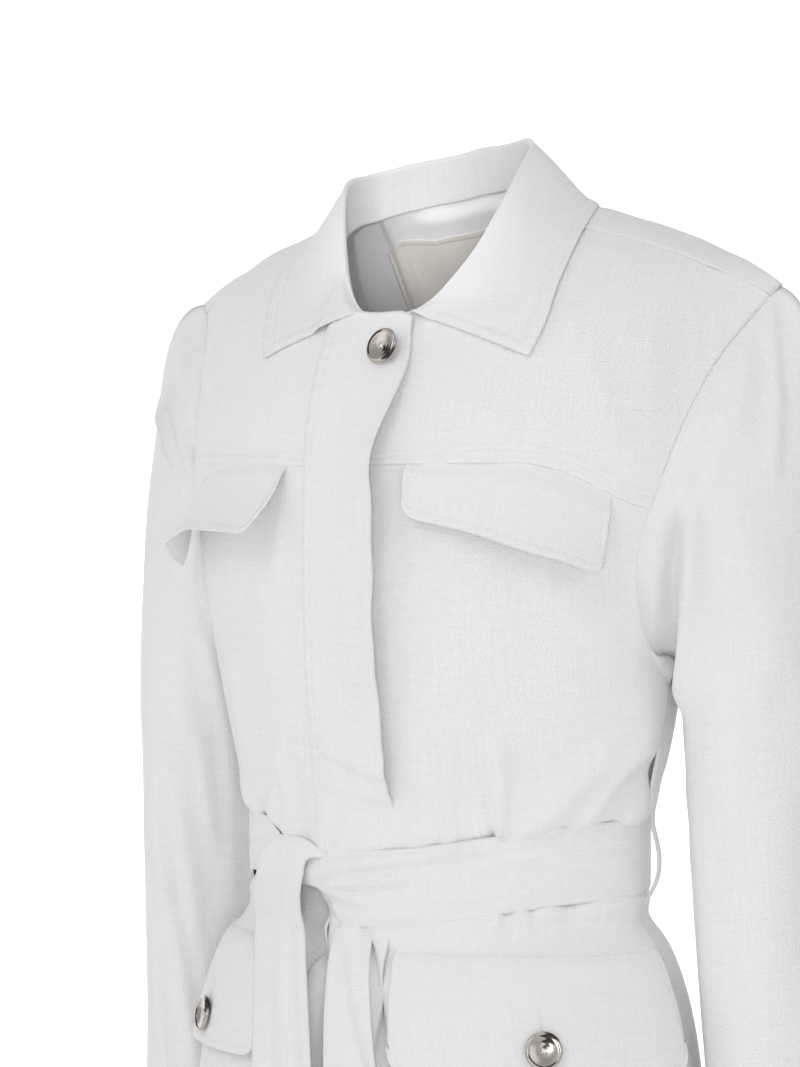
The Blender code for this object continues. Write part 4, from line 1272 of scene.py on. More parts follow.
# %% The collar's leaf
def clear_of_body(place, gap):
    """Places near the shoulders, moved out where they stand nearer the body than the gap."""
    lifts = np.linspace(5.0, 175.0, 171)
    curve = arch_point(place[..., 0][..., None], lifts)
    near = np.hypot(curve[..., 1] - place[..., 1:2], curve[..., 2] - place[..., 2:3])
    i = np.clip(np.argmin(near, axis=-1), 1, len(lifts) - 2)
    pick = lambda k: np.take_along_axis(curve, k[..., None, None], axis=-2)[..., 0, :]
    run = pick(i + 1) - pick(i - 1)
    out = xyz(0.0, -run[..., 2], run[..., 1])
    out /= np.linalg.norm(out, axis=-1, keepdims=True)
    short = gap - np.sum((place - pick(i)) * out, axis=-1)
    return place + out * np.maximum(short, 0.0)[..., None]


def leaf_gap(x):
    """Clear height of the leaf over the body, more where the fly lies under it."""
    over_fly = step(-0.056, -0.046, x) * step(0.034, 0.022, x)
    return mix(0.0011, 0.0054, over_fly)


def leaf_point(s, v):
    share = np.abs(s)
    fold = stand_point(s, np.ones_like(s))
    outward = -neck_inward(fold)
    fold = fold + outward * (CLOTH + 0.0007) + np.array((0.0, 0.0, 0.0010))
    out = leaf_columns["out"](share) + 0.0070 * step(0.80, 1.0, s) - 0.0060 * step(0.70, 1.0, -s)
    lift = leaf_columns["lift"](share) - 1.2 * step(0.80, 1.0, s)
    edge = off_arch(out, lift, leaf_columns["off"](share))
    edge[..., 0] = np.copysign(edge[..., 0], s)
    roll = leaf_columns["roll"](share)[..., None]
    first = mix(fold, edge, 0.30) + outward * roll + np.array((0.0, 0.0, 0.5)) * roll
    second = mix(fold, edge, 0.68) + outward * roll * 0.6
    t = v[..., None]
    w = 1 - t
    place = fold * w**3 + first * 3 * w * w * t + second * 3 * w * t * t + edge * t**3
    held = clear_of_body(place, leaf_gap(place[..., 0]))
    return mix(place, held, step(0.0, 0.08, v)[..., None])


print("left point of the leaf:", np.round(leaf_point(np.array(1.0), np.array(1.0)), 3).tolist())


# %% The whole collar
def collar_surface(u, v):
    """Rows of the stand, then of the fold, then of the leaf."""
    s = 2 * u - 1
    leaf = leaf_point(s, np.clip((v - FOLD_TO) / (1 - FOLD_TO), 0.0, 1.0))
    rows = v[:, 0] >= FOLD_TO
    leaf[rows] += grid_normals(leaf[rows], False) * LEAF_WALL
    stand = stand_point(s, mix(stand_foot(s) / stand_height(s), 1.0, np.clip(v / FOLD_FROM, 0.0, 1.0)))
    top = stand_point(s, np.ones_like(s))
    first = np.broadcast_to(leaf[rows][0], leaf.shape)
    middle = (top + first) / 2
    angle = np.clip((v - FOLD_FROM) / (FOLD_TO - FOLD_FROM), 0.0, 1.0)[..., None] * math.pi
    high = np.linalg.norm(first - top, axis=-1, keepdims=True) / 2
    over = middle + (top - middle) * np.cos(angle) + np.array((0.0, 0.0, 1.0)) * high * np.sin(angle)
    place = np.where((v < FOLD_FROM)[..., None], stand, over)
    place[rows] = leaf[rows]
    for _ in range(SMOOTHINGS):
        place[:, 1:-1] = (place[:, :-2] + 2 * place[:, 1:-1] + place[:, 2:]) / 4
    return place


def edge_band(away, band, ridge, groove=0.0005):
    """A stitched edge: a raised flat band and a groove where the stitches pull."""
    return ridge * step(band + 0.0008, band - 0.0008, away) - groove * hump(away, band, 0.0010)


def from_edges(place):
    """Distances down and across a sheet, and from its top edge, its lower edge and the nearer of its ends."""
    fall, level = run_along(place, 0), run_along(place, 1)
    end = np.minimum(level - level[:, :1], level[:, -1:] - level)
    return fall, level, fall - fall[:1], fall[-1:] - fall, end


def collar_relief(u, v, place, out):
    on_leaf = step(FOLD_TO + 0.05, FOLD_TO + 0.2, v)
    fall, level, _, below, end = from_edges(place)
    lift = edge_band(np.minimum(below, end), COLLAR_BAND, 0.0008, 0.0008) * on_leaf
    pucker = np.sin(level * 700 + 1.5 * np.sin(level * 90)) * step(COLLAR_BAND + 0.002, 0.002, below)
    lift += 0.00034 * pucker * on_leaf
    soft = ripple(level, fall, seed=51, longest=0.09, shortest=0.03, upright=0.3)
    return lift + 0.0005 * soft * on_leaf


collar_rows = joined((0.0, FOLD_FROM, 17), (FOLD_FROM, FOLD_TO, 9), (FOLD_TO, 0.88, 31), (0.88, 1.0, 17))
collar_columns = joined((0.0, 0.05, 17), (0.05, 0.95, 201), (0.95, 1.0, 17))
cut_sheet(
    "cloth_collar", collar_surface, collar_columns, collar_rows, COLLAR_WALL, linen,
    ["collar_stand", "collar_leaf"], side=-1.0, relief=collar_relief,
)

# %% [markdown]
# ## The fly
#
# The right front's edge carries a covered placket: an outer strip, sewn down by two rows of stitches on
# its far side and loose at its near edge, and a second layer under it. Between the top button and the
# belt the edge gapes.

# %% Fly tables
FLY_FOLD_X, UNDER_FOLD_X = -0.044, -0.030
FLY_OFF, FLY_WALL, UNDER_OFF, UNDER_SHORT = 0.0040, 0.0018, 0.0022, 0.0035
FLY_WIDE, FLY_ROW_ONE, FLY_ROW_TWO = 0.064, 0.0030, 0.0090
FLY_TOP_Z, LIE = -0.075, 0.0008
Gape = namedtuple("Gape", "height edge lift")
GAPE = (
    Gape(-0.690, 0.0180, 0.0040),
    Gape(-0.590, 0.0180, 0.0020),
    Gape(-0.500, 0.0180, 0.0000),
    Gape(-0.460, 0.0180, 0.0000),
    Gape(-0.405, 0.0180, 0.0000),
    Gape(-0.340, 0.0180, 0.0060),
    Gape(-0.280, 0.0180, 0.0100),
    Gape(-0.200, 0.0185, 0.0120),
    Gape(-0.158, 0.0180, 0.0103),
    Gape(-0.132, 0.0255, 0.0050),
    Gape(-0.106, 0.0295, 0.0008),
    Gape(-0.075, 0.0235, 0.0003),
    Gape(-0.060, 0.0225, 0.0000),
)
fly_edge = column_curve(GAPE, "edge")
gape_lift = column_curve(GAPE, "lift")
FLY_CREASES = (
    Crease(390, 778, 320, 745, 0.0032, 8),
    Crease(394, 804, 316, 776, 0.0014, 7),
    Crease(378, 752, 320, 734, 0.0010, 8),
    Crease(318, 846, 330, 800, 0.0012, 6),
    Crease(345, 850, 352, 806, 0.0010, 7),
    Crease(350, 420, 352, 470, 0.0008, 10),
    Crease(345, 560, 352, 680, 0.0008, 10),
)
print("widest gape:", max(row.lift for row in GAPE), "m")


# %% Fly
def fly_lift(x, height):
    """How far the loose edge of the fly stands off."""
    share = np.clip((x - UNDER_FOLD_X) / (fly_edge(height) - UNDER_FOLD_X), 0.0, 1.0)
    return gape_lift(height) * share * share


def fly_top(x):
    """The fly's top follows the neckline, then turns down at its rounded corner."""
    level = np.minimum(x, 0.008)
    neck = CHEST_Z + arch_high(level) * np.sin(np.radians(neck_front_lift(level)))
    return neck - 0.002 - 0.0035 * step(0.013, 0.024, x)


def fly_point(u, v):
    edge = fly_edge(mix(HEM_Z, FLY_TOP_Z, v))
    x = mix(FLY_FOLD_X, edge, u)
    height = mix(HEM_Z, fly_top(x), v)
    off = mix(CLOTH + LIE, FLY_OFF, step(FLY_FOLD_X, UNDER_FOLD_X, x))
    return off_front(x, height, off + fly_lift(x, height))


def under_point(u, v):
    edge = fly_edge(mix(HEM_Z, FLY_TOP_Z, v)) - UNDER_SHORT
    x = mix(UNDER_FOLD_X, edge, u)
    height = mix(HEM_Z + 0.002, fly_top(x) - 0.002, v)
    return off_front(x, height, UNDER_OFF + fly_lift(x, height) * 0.9)


def held_flat(height):
    """One where the belt presses the fly's loose edge flat on the left front."""
    return step(-0.380, -0.396, height) * step(-0.482, -0.470, height)


def fly_relief(u, v, place, out):
    away = u * FLY_WIDE
    x, z = place[..., 0], place[..., 2]
    lift = crease_lift(FLY_CREASES, place, out)
    lift += -0.0026 * step(0.0024, 0.0, away)
    for row in (FLY_ROW_ONE, FLY_ROW_TWO):
        lift += -0.0006 * hump(away, row, 0.0010)
    between = step(0.001, 0.004, away) * step(0.012, 0.008, away)
    lift += 0.0005 * between
    lift += 0.00026 * between * np.sin(z * 640 + 2 * np.sin(z * 70))
    lift += 0.0004 * ripple(x, z, seed=61, longest=0.07, shortest=0.02, upright=0.2) * step(0.2, 0.5, u)
    wave = np.sin(z * 62) + 0.6 * np.sin(z * 141 + 1.0)
    loose = step(-0.41, -0.36, z) * step(-0.11, -0.15, z)
    lift += 0.0008 * wave * step(0.6, 1.0, u) * loose + 0.35 * over_belt(place) + tie_grooves(place, out)
    return lift - 0.0054 * step(0.35, 1.0, u) * held_flat(z)


def under_strip_relief(u, v, place, out):
    return tie_grooves(place, out) - 0.0036 * step(0.1, 0.9, u) * held_flat(place[..., 2])


fly_columns = joined((0.0, 0.18, 17), (0.18, 1.0, 31))
cut_sheet("cloth_fly", fly_point, fly_columns, even(300), 0.0014, linen, ["fly"], relief=fly_relief)
cut_sheet(
    "cloth_fly_under", under_point, even(20), even(240), 0.0010, linen, ["fly_under"],
    relief=under_strip_relief,
)

# %% [markdown]
# ## The pocket flaps
#
# The chest flaps hang from the chest seam and stand off the body; the hip flaps lie flatter and are
# buttoned. Each is two layers of cloth turned at the edge, so the edge is a little thicker and carries a
# row of stitches. The left chest flap bows along its lower edge, and the right one curls up at its outer
# corner.

# %% Flap tables
Flap = namedtuple(
    "Flap",
    "name inner outer inner_height outer_height inner_slant outer_slant corner lie swing lean bow curl",
    defaults=(0.0, 0.0, 0.0),
)
CHEST_FLAPS = (
    Flap("chest_flap_left", 10.2, 56.3, 0.036, 0.060, 9.0, 22.0, 0.011, 0.0008, 0.0, -2.4, 0.0070),
    Flap("chest_flap_right", -17.5, -64.0, 0.057, 0.050, 30.0, 37.0, 0.009, 0.0008, -3.0, 0.0, 0.0, 22.0),
)
HIP_FLAPS = (
    Flap("hip_flap_left", 8.2, 87.0, 0.080, 0.082, 4.0, 3.0, 0.016, 0.0013, 2.0),
    Flap("hip_flap_right", -24.0, -88.0, 0.080, 0.082, 2.0, 4.0, 0.016, 0.0013, 0.0),
)
HIP_FLAP_Z = -0.487
FLAP_BAND, FLAP_WALL, HIP_TOP_BAND = 0.0055, 0.0019, 0.0011
FLAP_CREASES = (
    Crease(430, 975, 520, 985, 0.0007, 5),
    Crease(400, 1010, 480, 1016, 0.0007, 5),
    Crease(560, 968, 640, 972, 0.0007, 5),
    Crease(590, 1000, 650, 1004, 0.0006, 5),
    Crease(470, 1040, 520, 1044, 0.0006, 5),
    Crease(600, 1030, 660, 1036, 0.0007, 5),
)
print("flaps:", [flap.name for flap in CHEST_FLAPS + HIP_FLAPS])


# %% Flaps
def flap_surface(flap, top_height):
    length = abs(math.radians(flap.outer - flap.inner)) * 0.15

    def point(u, v):
        full = mix(flap.inner_height, flap.outer_height, u**0.7) + flap.bow * hump(u, 0.62, 0.22)
        near = np.minimum(u, 1 - u) * length
        short = np.sqrt(np.maximum(flap.corner**2 - (flap.corner - near) ** 2, 0.0))
        high = full - np.where(near < flap.corner, flap.corner - short, 0.0)
        low = v * high / full
        turn = mix(flap.inner + flap.swing * low, flap.outer + flap.lean * low, u)
        stand = mix(flap.inner_slant, flap.outer_slant, u) - flap.curl * step(0.70, 1.0, u)
        slant = np.radians(stand) * (0.4 + 0.6 * v)
        away = high * v * np.sin(slant)
        down = high * v * np.cos(slant)
        sewn = mix(-0.0024, CLOTH + flap.lie, step(0.0, 0.011 / flap.inner_height, v))
        return off_ring(turn, top_height(turn) + 0.0028 - down, sewn + away)

    return point


def flap_relief(creases, seed, top_band):
    def relief(u, v, place, out):
        fall, level, top, below, end = from_edges(place)
        lift = edge_band(np.minimum(below, end), FLAP_BAND, 0.0003, 0.0003)
        lift += crease_lift(creases, place, out)
        lift += top_band * (hump(top, 0.0016, 0.0016) + hump(top, 0.0090, 0.0016))
        return lift + 0.0004 * ripple(level, fall, seed, longest=0.07, shortest=0.02, upright=0.2)

    return relief


def hip_top(turn):
    return HIP_FLAP_Z + 0.0 * turn


flap_columns = joined((0.0, 0.10, 15), (0.10, 0.90, 51), (0.90, 1.0, 15))
flap_rows = joined((0.0, 0.16, 13), (0.16, 0.8, 20), (0.8, 1.0, 13))
for order, flap in enumerate(CHEST_FLAPS + HIP_FLAPS):
    chest = flap in CHEST_FLAPS
    cut_sheet(
        "cloth_" + flap.name, flap_surface(flap, seam_height if chest else hip_top), flap_columns, flap_rows,
        FLAP_WALL, linen, [flap.name], flip=flap.outer > 0,
        relief=flap_relief(() if chest else FLAP_CREASES, 70 + order, 0.0 if chest else HIP_TOP_BAND),
    )

# %% [markdown]
# ## The belt
#
# The belt is a doubled strip, pulled tight, so it folds along its length. The folds run together at the
# knot. One end comes up behind the belt, falls over it and hangs; the other hangs from behind, folded
# once along its length.

# %% Belt
BELT_HIGH, BELT_OFF, BELT_BAND = 0.050, 0.0064, 0.0045
KNOT_RIGHT, KNOT_LEFT = -30.0, 327.0
TAIL_WIDE, TAIL_WALL = 0.88, 0.0018
Hang = namedtuple("Hang", "along centre height off wide")
TAIL_OVER = (
    Hang(0.00, -0.0650, -0.4260, 0.0045, 0.052),
    Hang(0.05, -0.0660, -0.4190, 0.0055, 0.054),
    Hang(0.09, -0.0680, -0.4160, 0.0085, 0.055),
    Hang(0.13, -0.0700, -0.4190, 0.0125, 0.054),
    Hang(0.25, -0.0740, -0.4430, 0.0130, 0.053),
    Hang(0.45, -0.0620, -0.495, 0.0120, 0.053),
    Hang(0.70, -0.0425, -0.575, 0.0125, 0.056),
    Hang(1.00, -0.0290, -0.655, 0.0125, 0.057),
)
TAIL_UNDER = (
    Hang(0.00, -0.0115, -0.4785, 0.0078, 0.030),
    Hang(0.30, -0.0020, -0.520, 0.0080, 0.035),
    Hang(0.65, 0.0070, -0.580, 0.0085, 0.043),
    Hang(1.00, 0.0100, -0.640, 0.0085, 0.046),
)


def belt_point(u, v):
    turn = mix(KNOT_RIGHT, KNOT_LEFT, u)
    middle = belt_middle(turn)
    base = off_ring(turn, middle, np.full(np.shape(turn), BELT_OFF))
    near = step(-8.0, -17.0, turn)
    drawn = mix(1.0, 0.42, near) * mix(1.0, 0.82, step(272.0, 306.0, turn))
    middle = middle + 0.0095 * near
    return xyz(base[..., 0], base[..., 1], middle + (v - 0.5) * BELT_HIGH * drawn)


BELT_CREASES = (
    Crease(500, 846, 318, 868, 0.0026, 5),
    Crease(410, 878, 314, 884, 0.0036, 6),
    Crease(370, 904, 318, 888, 0.0022, 5),
    Crease(640, 842, 480, 866, 0.0010, 6),
    Crease(590, 884, 440, 900, 0.0010, 6),
    Crease(280, 838, 238, 856, 0.0022, 9),
    Crease(280, 822, 238, 834, 0.0014, 7),
)


def belt_relief(u, v, place, out):
    lift = crease_lift(BELT_CREASES, place, out)
    unseen = step(0.1, -0.2, out @ to_camera)
    for share, depth, reach in ((0.82, 0.0009, 0.05), (0.55, 0.0010, 0.06), (0.28, 0.0009, 0.06)):
        line = share + 0.05 * np.sin(u * 37 + share * 9)
        lift += depth * hump(v, line, reach) * unseen
    lift += 0.0004 * ripple(u * 0.9, v * 0.048, seed=81, longest=0.09, shortest=0.02, upright=0.7)
    edge = np.minimum(v, 1 - v) * BELT_HIGH
    return lift + edge_band(edge, BELT_BAND, 0.0002, 0.0003) - 0.0013 * hump(edge, 0.0, 0.0022)


cut_sheet("cloth_belt", belt_point, even(380), even(26), 0.0016, linen, ["belt"], relief=belt_relief)


# %% The belt's two ends
def under_tail_point(u, v):
    """The end that hangs from behind the belt."""
    curves = column_curves(TAIL_UNDER)
    x = curves["centre"](v) + (u - 0.5) * curves["wide"](v) * TAIL_WIDE
    height = curves["height"](v)
    return off_front(x, height, curves["off"](v) + fly_lift(x, height))


def over_point(u, v):
    """The end that falls over the knot: a dome at its top, drawn wide to the right where it leaves the belt.

    Below the knot it hangs free of the waist, in a straight line down to the hip.
    """
    curves = column_curves(TAIL_OVER)
    aside = 2 * u - 1
    dome = aside * aside * step(0.34, 0.06, v)
    flare = 0.013 * hump(v, 0.07, 0.07) * step(0.45, 1.0, u)
    x = curves["centre"](v) + aside * curves["wide"](v) * TAIL_WIDE / 2 + flare
    fall = 0.014 * dome * step(0.5, 0.2, u) + 0.010 * dome * step(0.5, 0.8, u)
    height = curves["height"](v) - fall - 0.006 * hump(v, 0.07, 0.07) * step(0.6, 1.0, u)
    place = off_front(x, height, curves["off"](v) - 0.0035 * dome + fly_lift(x, height))
    centre = off_front(curves["centre"](v), height, curves["off"](v))
    plumb = mix(-0.0915, -0.1350, (height + 0.443) / -0.12)
    place[..., 1] += (plumb - centre[..., 1]) * step(0.18, 0.30, v) * step(0.80, 0.66, v)
    return place


def over_relief(u, v, place, out):
    lift = 0.0016 * hump(u, 0.74, 0.09) * step(0.28, 0.5, v)
    lift += 0.0012 * hump(u, 0.34, 0.10) * step(0.3, 0.6, v)
    lift += 0.0012 * hump(u, 0.5, 0.35) * step(0.5, 0.2, v)
    edge = np.minimum(u, 1 - u) * 0.048
    lift += 0.0003 * ripple(u * 0.05, v * 0.25, seed=82, longest=0.05, shortest=0.015, upright=0.7)
    return lift + edge_band(edge, BELT_BAND, 0.0002, 0.0003)


def under_relief(u, v, place, out):
    ridge = np.minimum(mix(0.24, 1.40, v), 0.86)
    lift = 0.0046 * step(ridge - 0.06, ridge + 0.03, u)
    edge = np.minimum(u, 1 - u) * 0.04
    return lift - 0.0006 + edge_band(edge, BELT_BAND, 0.0002, 0.0003)


cut_sheet(
    "cloth_belt_end_over", over_point, even(36), even(150), TAIL_WALL, linen, ["belt_end_over"],
    side=0.0, relief=over_relief,
)
cut_sheet(
    "cloth_belt_end_under", under_tail_point, even(28), even(90), TAIL_WALL, linen, ["belt_end_under"],
    side=0.0, relief=under_relief,
)

# %% [markdown]
# ## Lining and label
#
# Through the neck shows the lining, a smoother cloth than the linen, and on it the label. The label is
# left bare: a cream tape with a folded border and one row of brown stitches.

# %% Lining and label materials
def make_woven(name, colour, slow, fast, rough, depth):
    """A smooth woven cloth: threads that change slowly along them and fast across, both ways."""
    material, tree, shader = new_material(name)
    grain = add_node(tree, "ShaderNodeUVMap", uv_map="grain").outputs["UV"]
    weft = stretched_noise(tree, grain, (slow, fast, 1.0), 1.0)
    warp = stretched_noise(tree, grain, (fast, slow, 1.0), 1.0, 2.3)
    threads = math_node(tree, "ADD", weft, warp)
    tree.links.new(bumped(tree, threads, 0.5, depth), shader.inputs["Normal"])
    shade = tinted(tree, math_node(tree, "MULTIPLY", threads, 0.5), colour, 0.94, 1.06)
    tree.links.new(shade, shader.inputs["Base Color"])
    shader.inputs["Roughness"].default_value = rough
    return material


lining_cloth = make_woven("lining_cloth", (0.91, 0.91, 0.915), 60.0, 1800.0, 0.5, 0.0001)
label_tape = make_woven("label_tape", (0.90, 0.87, 0.81), 160.0, 1500.0, 0.7, 0.0002)
print("smooth cloths:", lining_cloth.name, label_tape.name)

# %% Lining and label
LINING_HALF, LINING_GAP, LINING_TOP, LINING_LIFT = 0.135, 0.0024, 93.0, 152.0
LABEL_LEFT, LABEL_RIGHT, LABEL_TOP, LABEL_BOTTOM = -0.077, 0.027, 0.765, 0.24
LABEL_BORDER, OVER_SEAM = 0.0045, 0.0084


def lining_point(u, v):
    """The lining falls straight from behind the stand's lower edge to the back's inside, a little hollow."""
    x = mix(-LINING_HALF, LINING_HALF, u)
    inside = np.clip(x, -NECK_HALF * 0.999, NECK_HALF * 0.999)
    low = off_arch(x, np.full(np.shape(x), LINING_LIFT), -LINING_GAP)
    s = np.arcsin(inside / NECK_HALF) / math.pi
    high = np.maximum(stand_foot(s), 0.0) + 0.0025
    behind = stand_point(s, high / stand_height(s)) - neck_inward(neck_seam(s)) * 0.0012
    plain = off_arch(x, np.full(np.shape(x), LINING_TOP), -LINING_GAP)
    top = mix(plain, behind, step(NECK_HALF, NECK_HALF * 0.86, np.abs(x))[..., None])
    hollow = (4 * v * (1 - v))[..., None] * np.array((0.0, 0.0035, 0.0025))
    over_seam = OVER_SEAM * step(0.10, 0.80, v) * step(1.0, 0.85, v) * step(-0.34, -0.15, s)
    inward = neck_inward(neck_seam(s)) * over_seam[..., None]
    return mix(low, top, v[..., None]) + hollow + inward


def label_point(u, v):
    x = mix(LABEL_LEFT, LABEL_RIGHT, u)
    share = mix(LABEL_BOTTOM, LABEL_TOP, v)
    return lining_point((x + LINING_HALF) / (2 * LINING_HALF), share) + np.array((0.0, -0.0016, -0.0008))


def label_relief(u, v, place, out):
    fall, level, top, below, end = from_edges(place)
    away = np.minimum(np.minimum(top, below), end)
    soft = ripple(level, fall, seed=91, longest=0.07, shortest=0.03, upright=0.1)
    return edge_band(away, LABEL_BORDER, 0.0003, 0.0003) + 0.0005 * soft


def lining_relief(u, v, place, out):
    soft = ripple(place[..., 0], place[..., 2], seed=92, longest=0.09, shortest=0.03, upright=0.7)
    return 0.0004 * soft * step(0.9, 0.7, v)


cut_sheet(
    "lining_upper_back", lining_point, even(110), even(60), 0.0008, lining_cloth, ["neck_lining"],
    relief=lining_relief,
)
cut_sheet(
    "bare_label", label_point, even(90), even(60), 0.0006, label_tape, ["neck_label"],
    relief=label_relief,
)

# %% [markdown]
# ## Stitches
#
# Seen close, a row of lockstitch is a row of small grains of thread, each sunk a little at its ends. A
# stitch is one low icosphere of twenty faces, stretched along the seam and set on the sheet's outer
# face. Rows are laid by shares of a sheet, so they follow the cloth and its creases.

# %% Thread
def make_thread(name, colour):
    """Sewing thread: a fine grain of strands and a soft gloss."""
    material, tree, shader = new_material(name)
    coords = add_node(tree, "ShaderNodeTexCoord").outputs["Object"]
    strands = stretched_noise(tree, coords, (2600.0, 2600.0, 2600.0), 1.0)
    tree.links.new(bumped(tree, strands, 0.5, 0.0001), shader.inputs["Normal"])
    tree.links.new(tinted(tree, strands, colour, 0.9, 1.08), shader.inputs["Base Color"])
    shader.inputs["Roughness"].default_value = 0.6
    return material


white_thread = make_thread("white_thread", (0.84, 0.835, 0.84))
brown_thread = make_thread("brown_thread", (0.30, 0.26, 0.22))
print("threads:", white_thread.name, brown_thread.name)


# %% Places on a sheet
def on_sheet(name, u, v):
    """Places and normals on a sheet's outer face, at shares of it."""
    sheet = sheets[name]
    column = np.interp(u, sheet["across"], np.arange(len(sheet["across"])))
    row = np.interp(v, sheet["along"], np.arange(len(sheet["along"])))
    i = np.clip(column.astype(int), 0, len(sheet["across"]) - 2)
    j = np.clip(row.astype(int), 0, len(sheet["along"]) - 2)
    a, b = (column - i)[:, None], (row - j)[:, None]
    found = []
    for grid in (sheet["place"], sheet["out"]):
        low = grid[j, i] * (1 - a) + grid[j, i + 1] * a
        high = grid[j + 1, i] * (1 - a) + grid[j + 1, i + 1] * a
        found.append(low * (1 - b) + high * b)
    return found


def along_path(places, normals, pitch):
    """Evenly spaced places, directions and normals along a path."""
    steps = np.linalg.norm(np.diff(places, axis=0), axis=1)
    total = np.concatenate([[0.0], np.cumsum(steps)])
    marks = np.arange(pitch / 2, total[-1], pitch)
    at = lambda grid, where: np.stack([np.interp(where, total, grid[:, k]) for k in range(3)], axis=-1)
    ahead = at(places, marks + pitch / 3) - at(places, marks - pitch / 3)
    return at(places, marks), ahead, at(normals, marks)


middle_back = on_sheet("cloth_back", np.array([0.5]), np.array([0.5]))[0][0]
print("middle of the back:", np.round(middle_back, 3).tolist())

# %% Stitch maker
PITCH, STITCH_LONG, STITCH_THICK = 0.0028, 0.0022, 0.0005


def sew(name, rows, material, pitch=PITCH, length=STITCH_LONG, thick=STITCH_THICK):
    """One piece of stitches along several rows."""
    bm = bmesh.new()
    count = 0
    for places, normals in rows:
        for place, ahead, out in zip(*along_path(places, normals, pitch)):
            x_axis = Vector(ahead).normalized()
            z_axis = Vector(out).normalized()
            y_axis = z_axis.cross(x_axis).normalized()
            z_axis = x_axis.cross(y_axis)
            turn = Matrix((x_axis, y_axis, z_axis)).transposed().to_4x4()
            size = Matrix.Diagonal((length / 2, thick / 2, thick / 2.6, 1.0))
            spot = Matrix.Translation(Vector(place))
            bmesh.ops.create_icosphere(bm, subdivisions=1, radius=1.0, matrix=spot @ turn @ size)
            count += 1
    for face in bm.faces:
        face.smooth = True
    mesh = to_mesh(bm, name)
    mesh.materials.append(material)
    finish_piece(bpy.data.objects.new(name, mesh), [])
    print(name, count, "stitches")


print("a stitch every", PITCH, "m")

# %% Rows of stitches
ROW_TOP = 0.03


def row_along(name, v, u_from=0.01, u_to=0.99, count=400):
    u = np.linspace(u_from, u_to, count)
    return on_sheet(name, u, np.full(count, v))


def row_up(name, u, v_from=0.01, v_to=0.99, count=400):
    v = np.linspace(v_from, v_to, count)
    return on_sheet(name, np.full(count, u), v)


def row_inset(name, inset, count=500):
    """A row round the free edges of a sheet sewn in at its top: down one end, along, and up the other."""
    sheet = sheets[name]
    place = sheet["place"]
    high = np.linalg.norm(np.diff(place, axis=0), axis=-1).sum(axis=0)
    wide = np.linalg.norm(np.diff(place, axis=1), axis=-1).sum(axis=1).mean()
    start = inset / wide
    turn = np.interp([start, 1 - start], sheet["across"], 1 - inset / high)
    down = np.stack([np.full(count, start), np.linspace(ROW_TOP, turn[0], count)])
    u = np.linspace(start, 1 - start, 2 * count)
    level = np.stack([u, np.interp(u, sheet["across"], 1 - inset / high)])
    up = np.stack([np.full(count, 1 - start), np.linspace(turn[1], ROW_TOP, count)])
    u, v = np.concatenate([down, level, up], axis=1)
    return on_sheet(name, u, v)


print("stitches start", ROW_TOP, "of the way down a flap")

# %% Sew the rows
SEWN_FLY_WIDE = 0.062
HEM_TURN, HEM_HIGH, SLEEVE_LONG = 0.025, 0.512, 0.63
BOTH = ("left", "right")
sew("stitches_fly", [
    row_up("cloth_fly", row / SEWN_FLY_WIDE, 0.02, 0.97, 900) for row in (FLY_ROW_ONE, FLY_ROW_TWO)
], white_thread)
sew("stitches_chest_seam", [
    row_along("cloth_yoke_" + side, BAND / YOKE_HIGH, 0.005, 0.99) for side in BOTH
], white_thread)
for flap in CHEST_FLAPS + HIP_FLAPS:
    sew("stitches_" + flap.name, [row_inset("cloth_" + flap.name, FLAP_BAND)], white_thread)
collar_fall = np.linalg.norm(np.diff(sheets["cloth_collar"]["place"], axis=0), axis=-1).sum(axis=0)
collar_u = np.linspace(0.0, 1.0, 900)
below_edge = 1 - COLLAR_BAND / np.interp(collar_u, sheets["cloth_collar"]["across"], collar_fall)
keep = slice(16, -16)
sew("stitches_collar", [on_sheet("cloth_collar", collar_u[keep], below_edge[keep])], white_thread)
sew("stitches_belt", [row_along("cloth_belt", share, count=1200) for share in (0.094, 0.906)], white_thread)
sew("stitches_belt_ends", [
    row_up("cloth_belt_end_over", 0.09),
    row_up("cloth_belt_end_over", 0.91),
    row_up("cloth_belt_end_under", 0.10),
    row_up("cloth_belt_end_under", 0.90),
], white_thread)
label_line = LABEL_BORDER / sheets["bare_label"]["size"][1]
sew("stitches_label", [
    row_along("bare_label", label_line, 0.045, 0.955),
    row_along("bare_label", 1 - label_line, 0.045, 0.955),
    row_up("bare_label", 0.045, 0.08, 0.92),
    row_up("bare_label", 0.955, 0.08, 0.92),
], brown_thread, pitch=0.0019, length=0.0016, thick=0.0004)
hem_rows = [row_along("cloth_front_" + side, HEM_TURN / HEM_HIGH, 0.005, 0.995) for side in BOTH]
hem_rows.append(row_along("cloth_back", HEM_TURN / HEM_HIGH * BACK_LOWER, 0.005, 0.995, 600))
sew("stitches_hem", hem_rows, white_thread, pitch=0.0034, length=0.0026)
sew("stitches_cuffs", [
    row_along("cloth_sleeve_" + side, 1 - HEM_TURN / SLEEVE_LONG, 0.005, 0.995) for side in BOTH
], white_thread, pitch=0.0034, length=0.0026)

# %% [markdown]
# ## Buttons
#
# The buttons are turned metal, polished: a rounded rim, a step, and a shallow dish with four holes. The
# profile is spun round the axis, the holes are cut with a Boolean, and white thread crosses between
# them. A turned surface gathers its reflections into a dark wedge and, across from it, a dark crescent
# on the rim; both are painted reflections, drawn into the material's base colour from the UV map's angle
# and radius.

# %% Button metal
METAL_LIGHT, PAINTED_REFLECTION_DARK = (0.52, 0.48, 0.44), (0.050, 0.043, 0.040)
WEDGE_ANGLE, CRESCENT_ANGLE, RIM_RADIUS = 1.35, 4.65, 0.405
UV_PER_METRE = 40


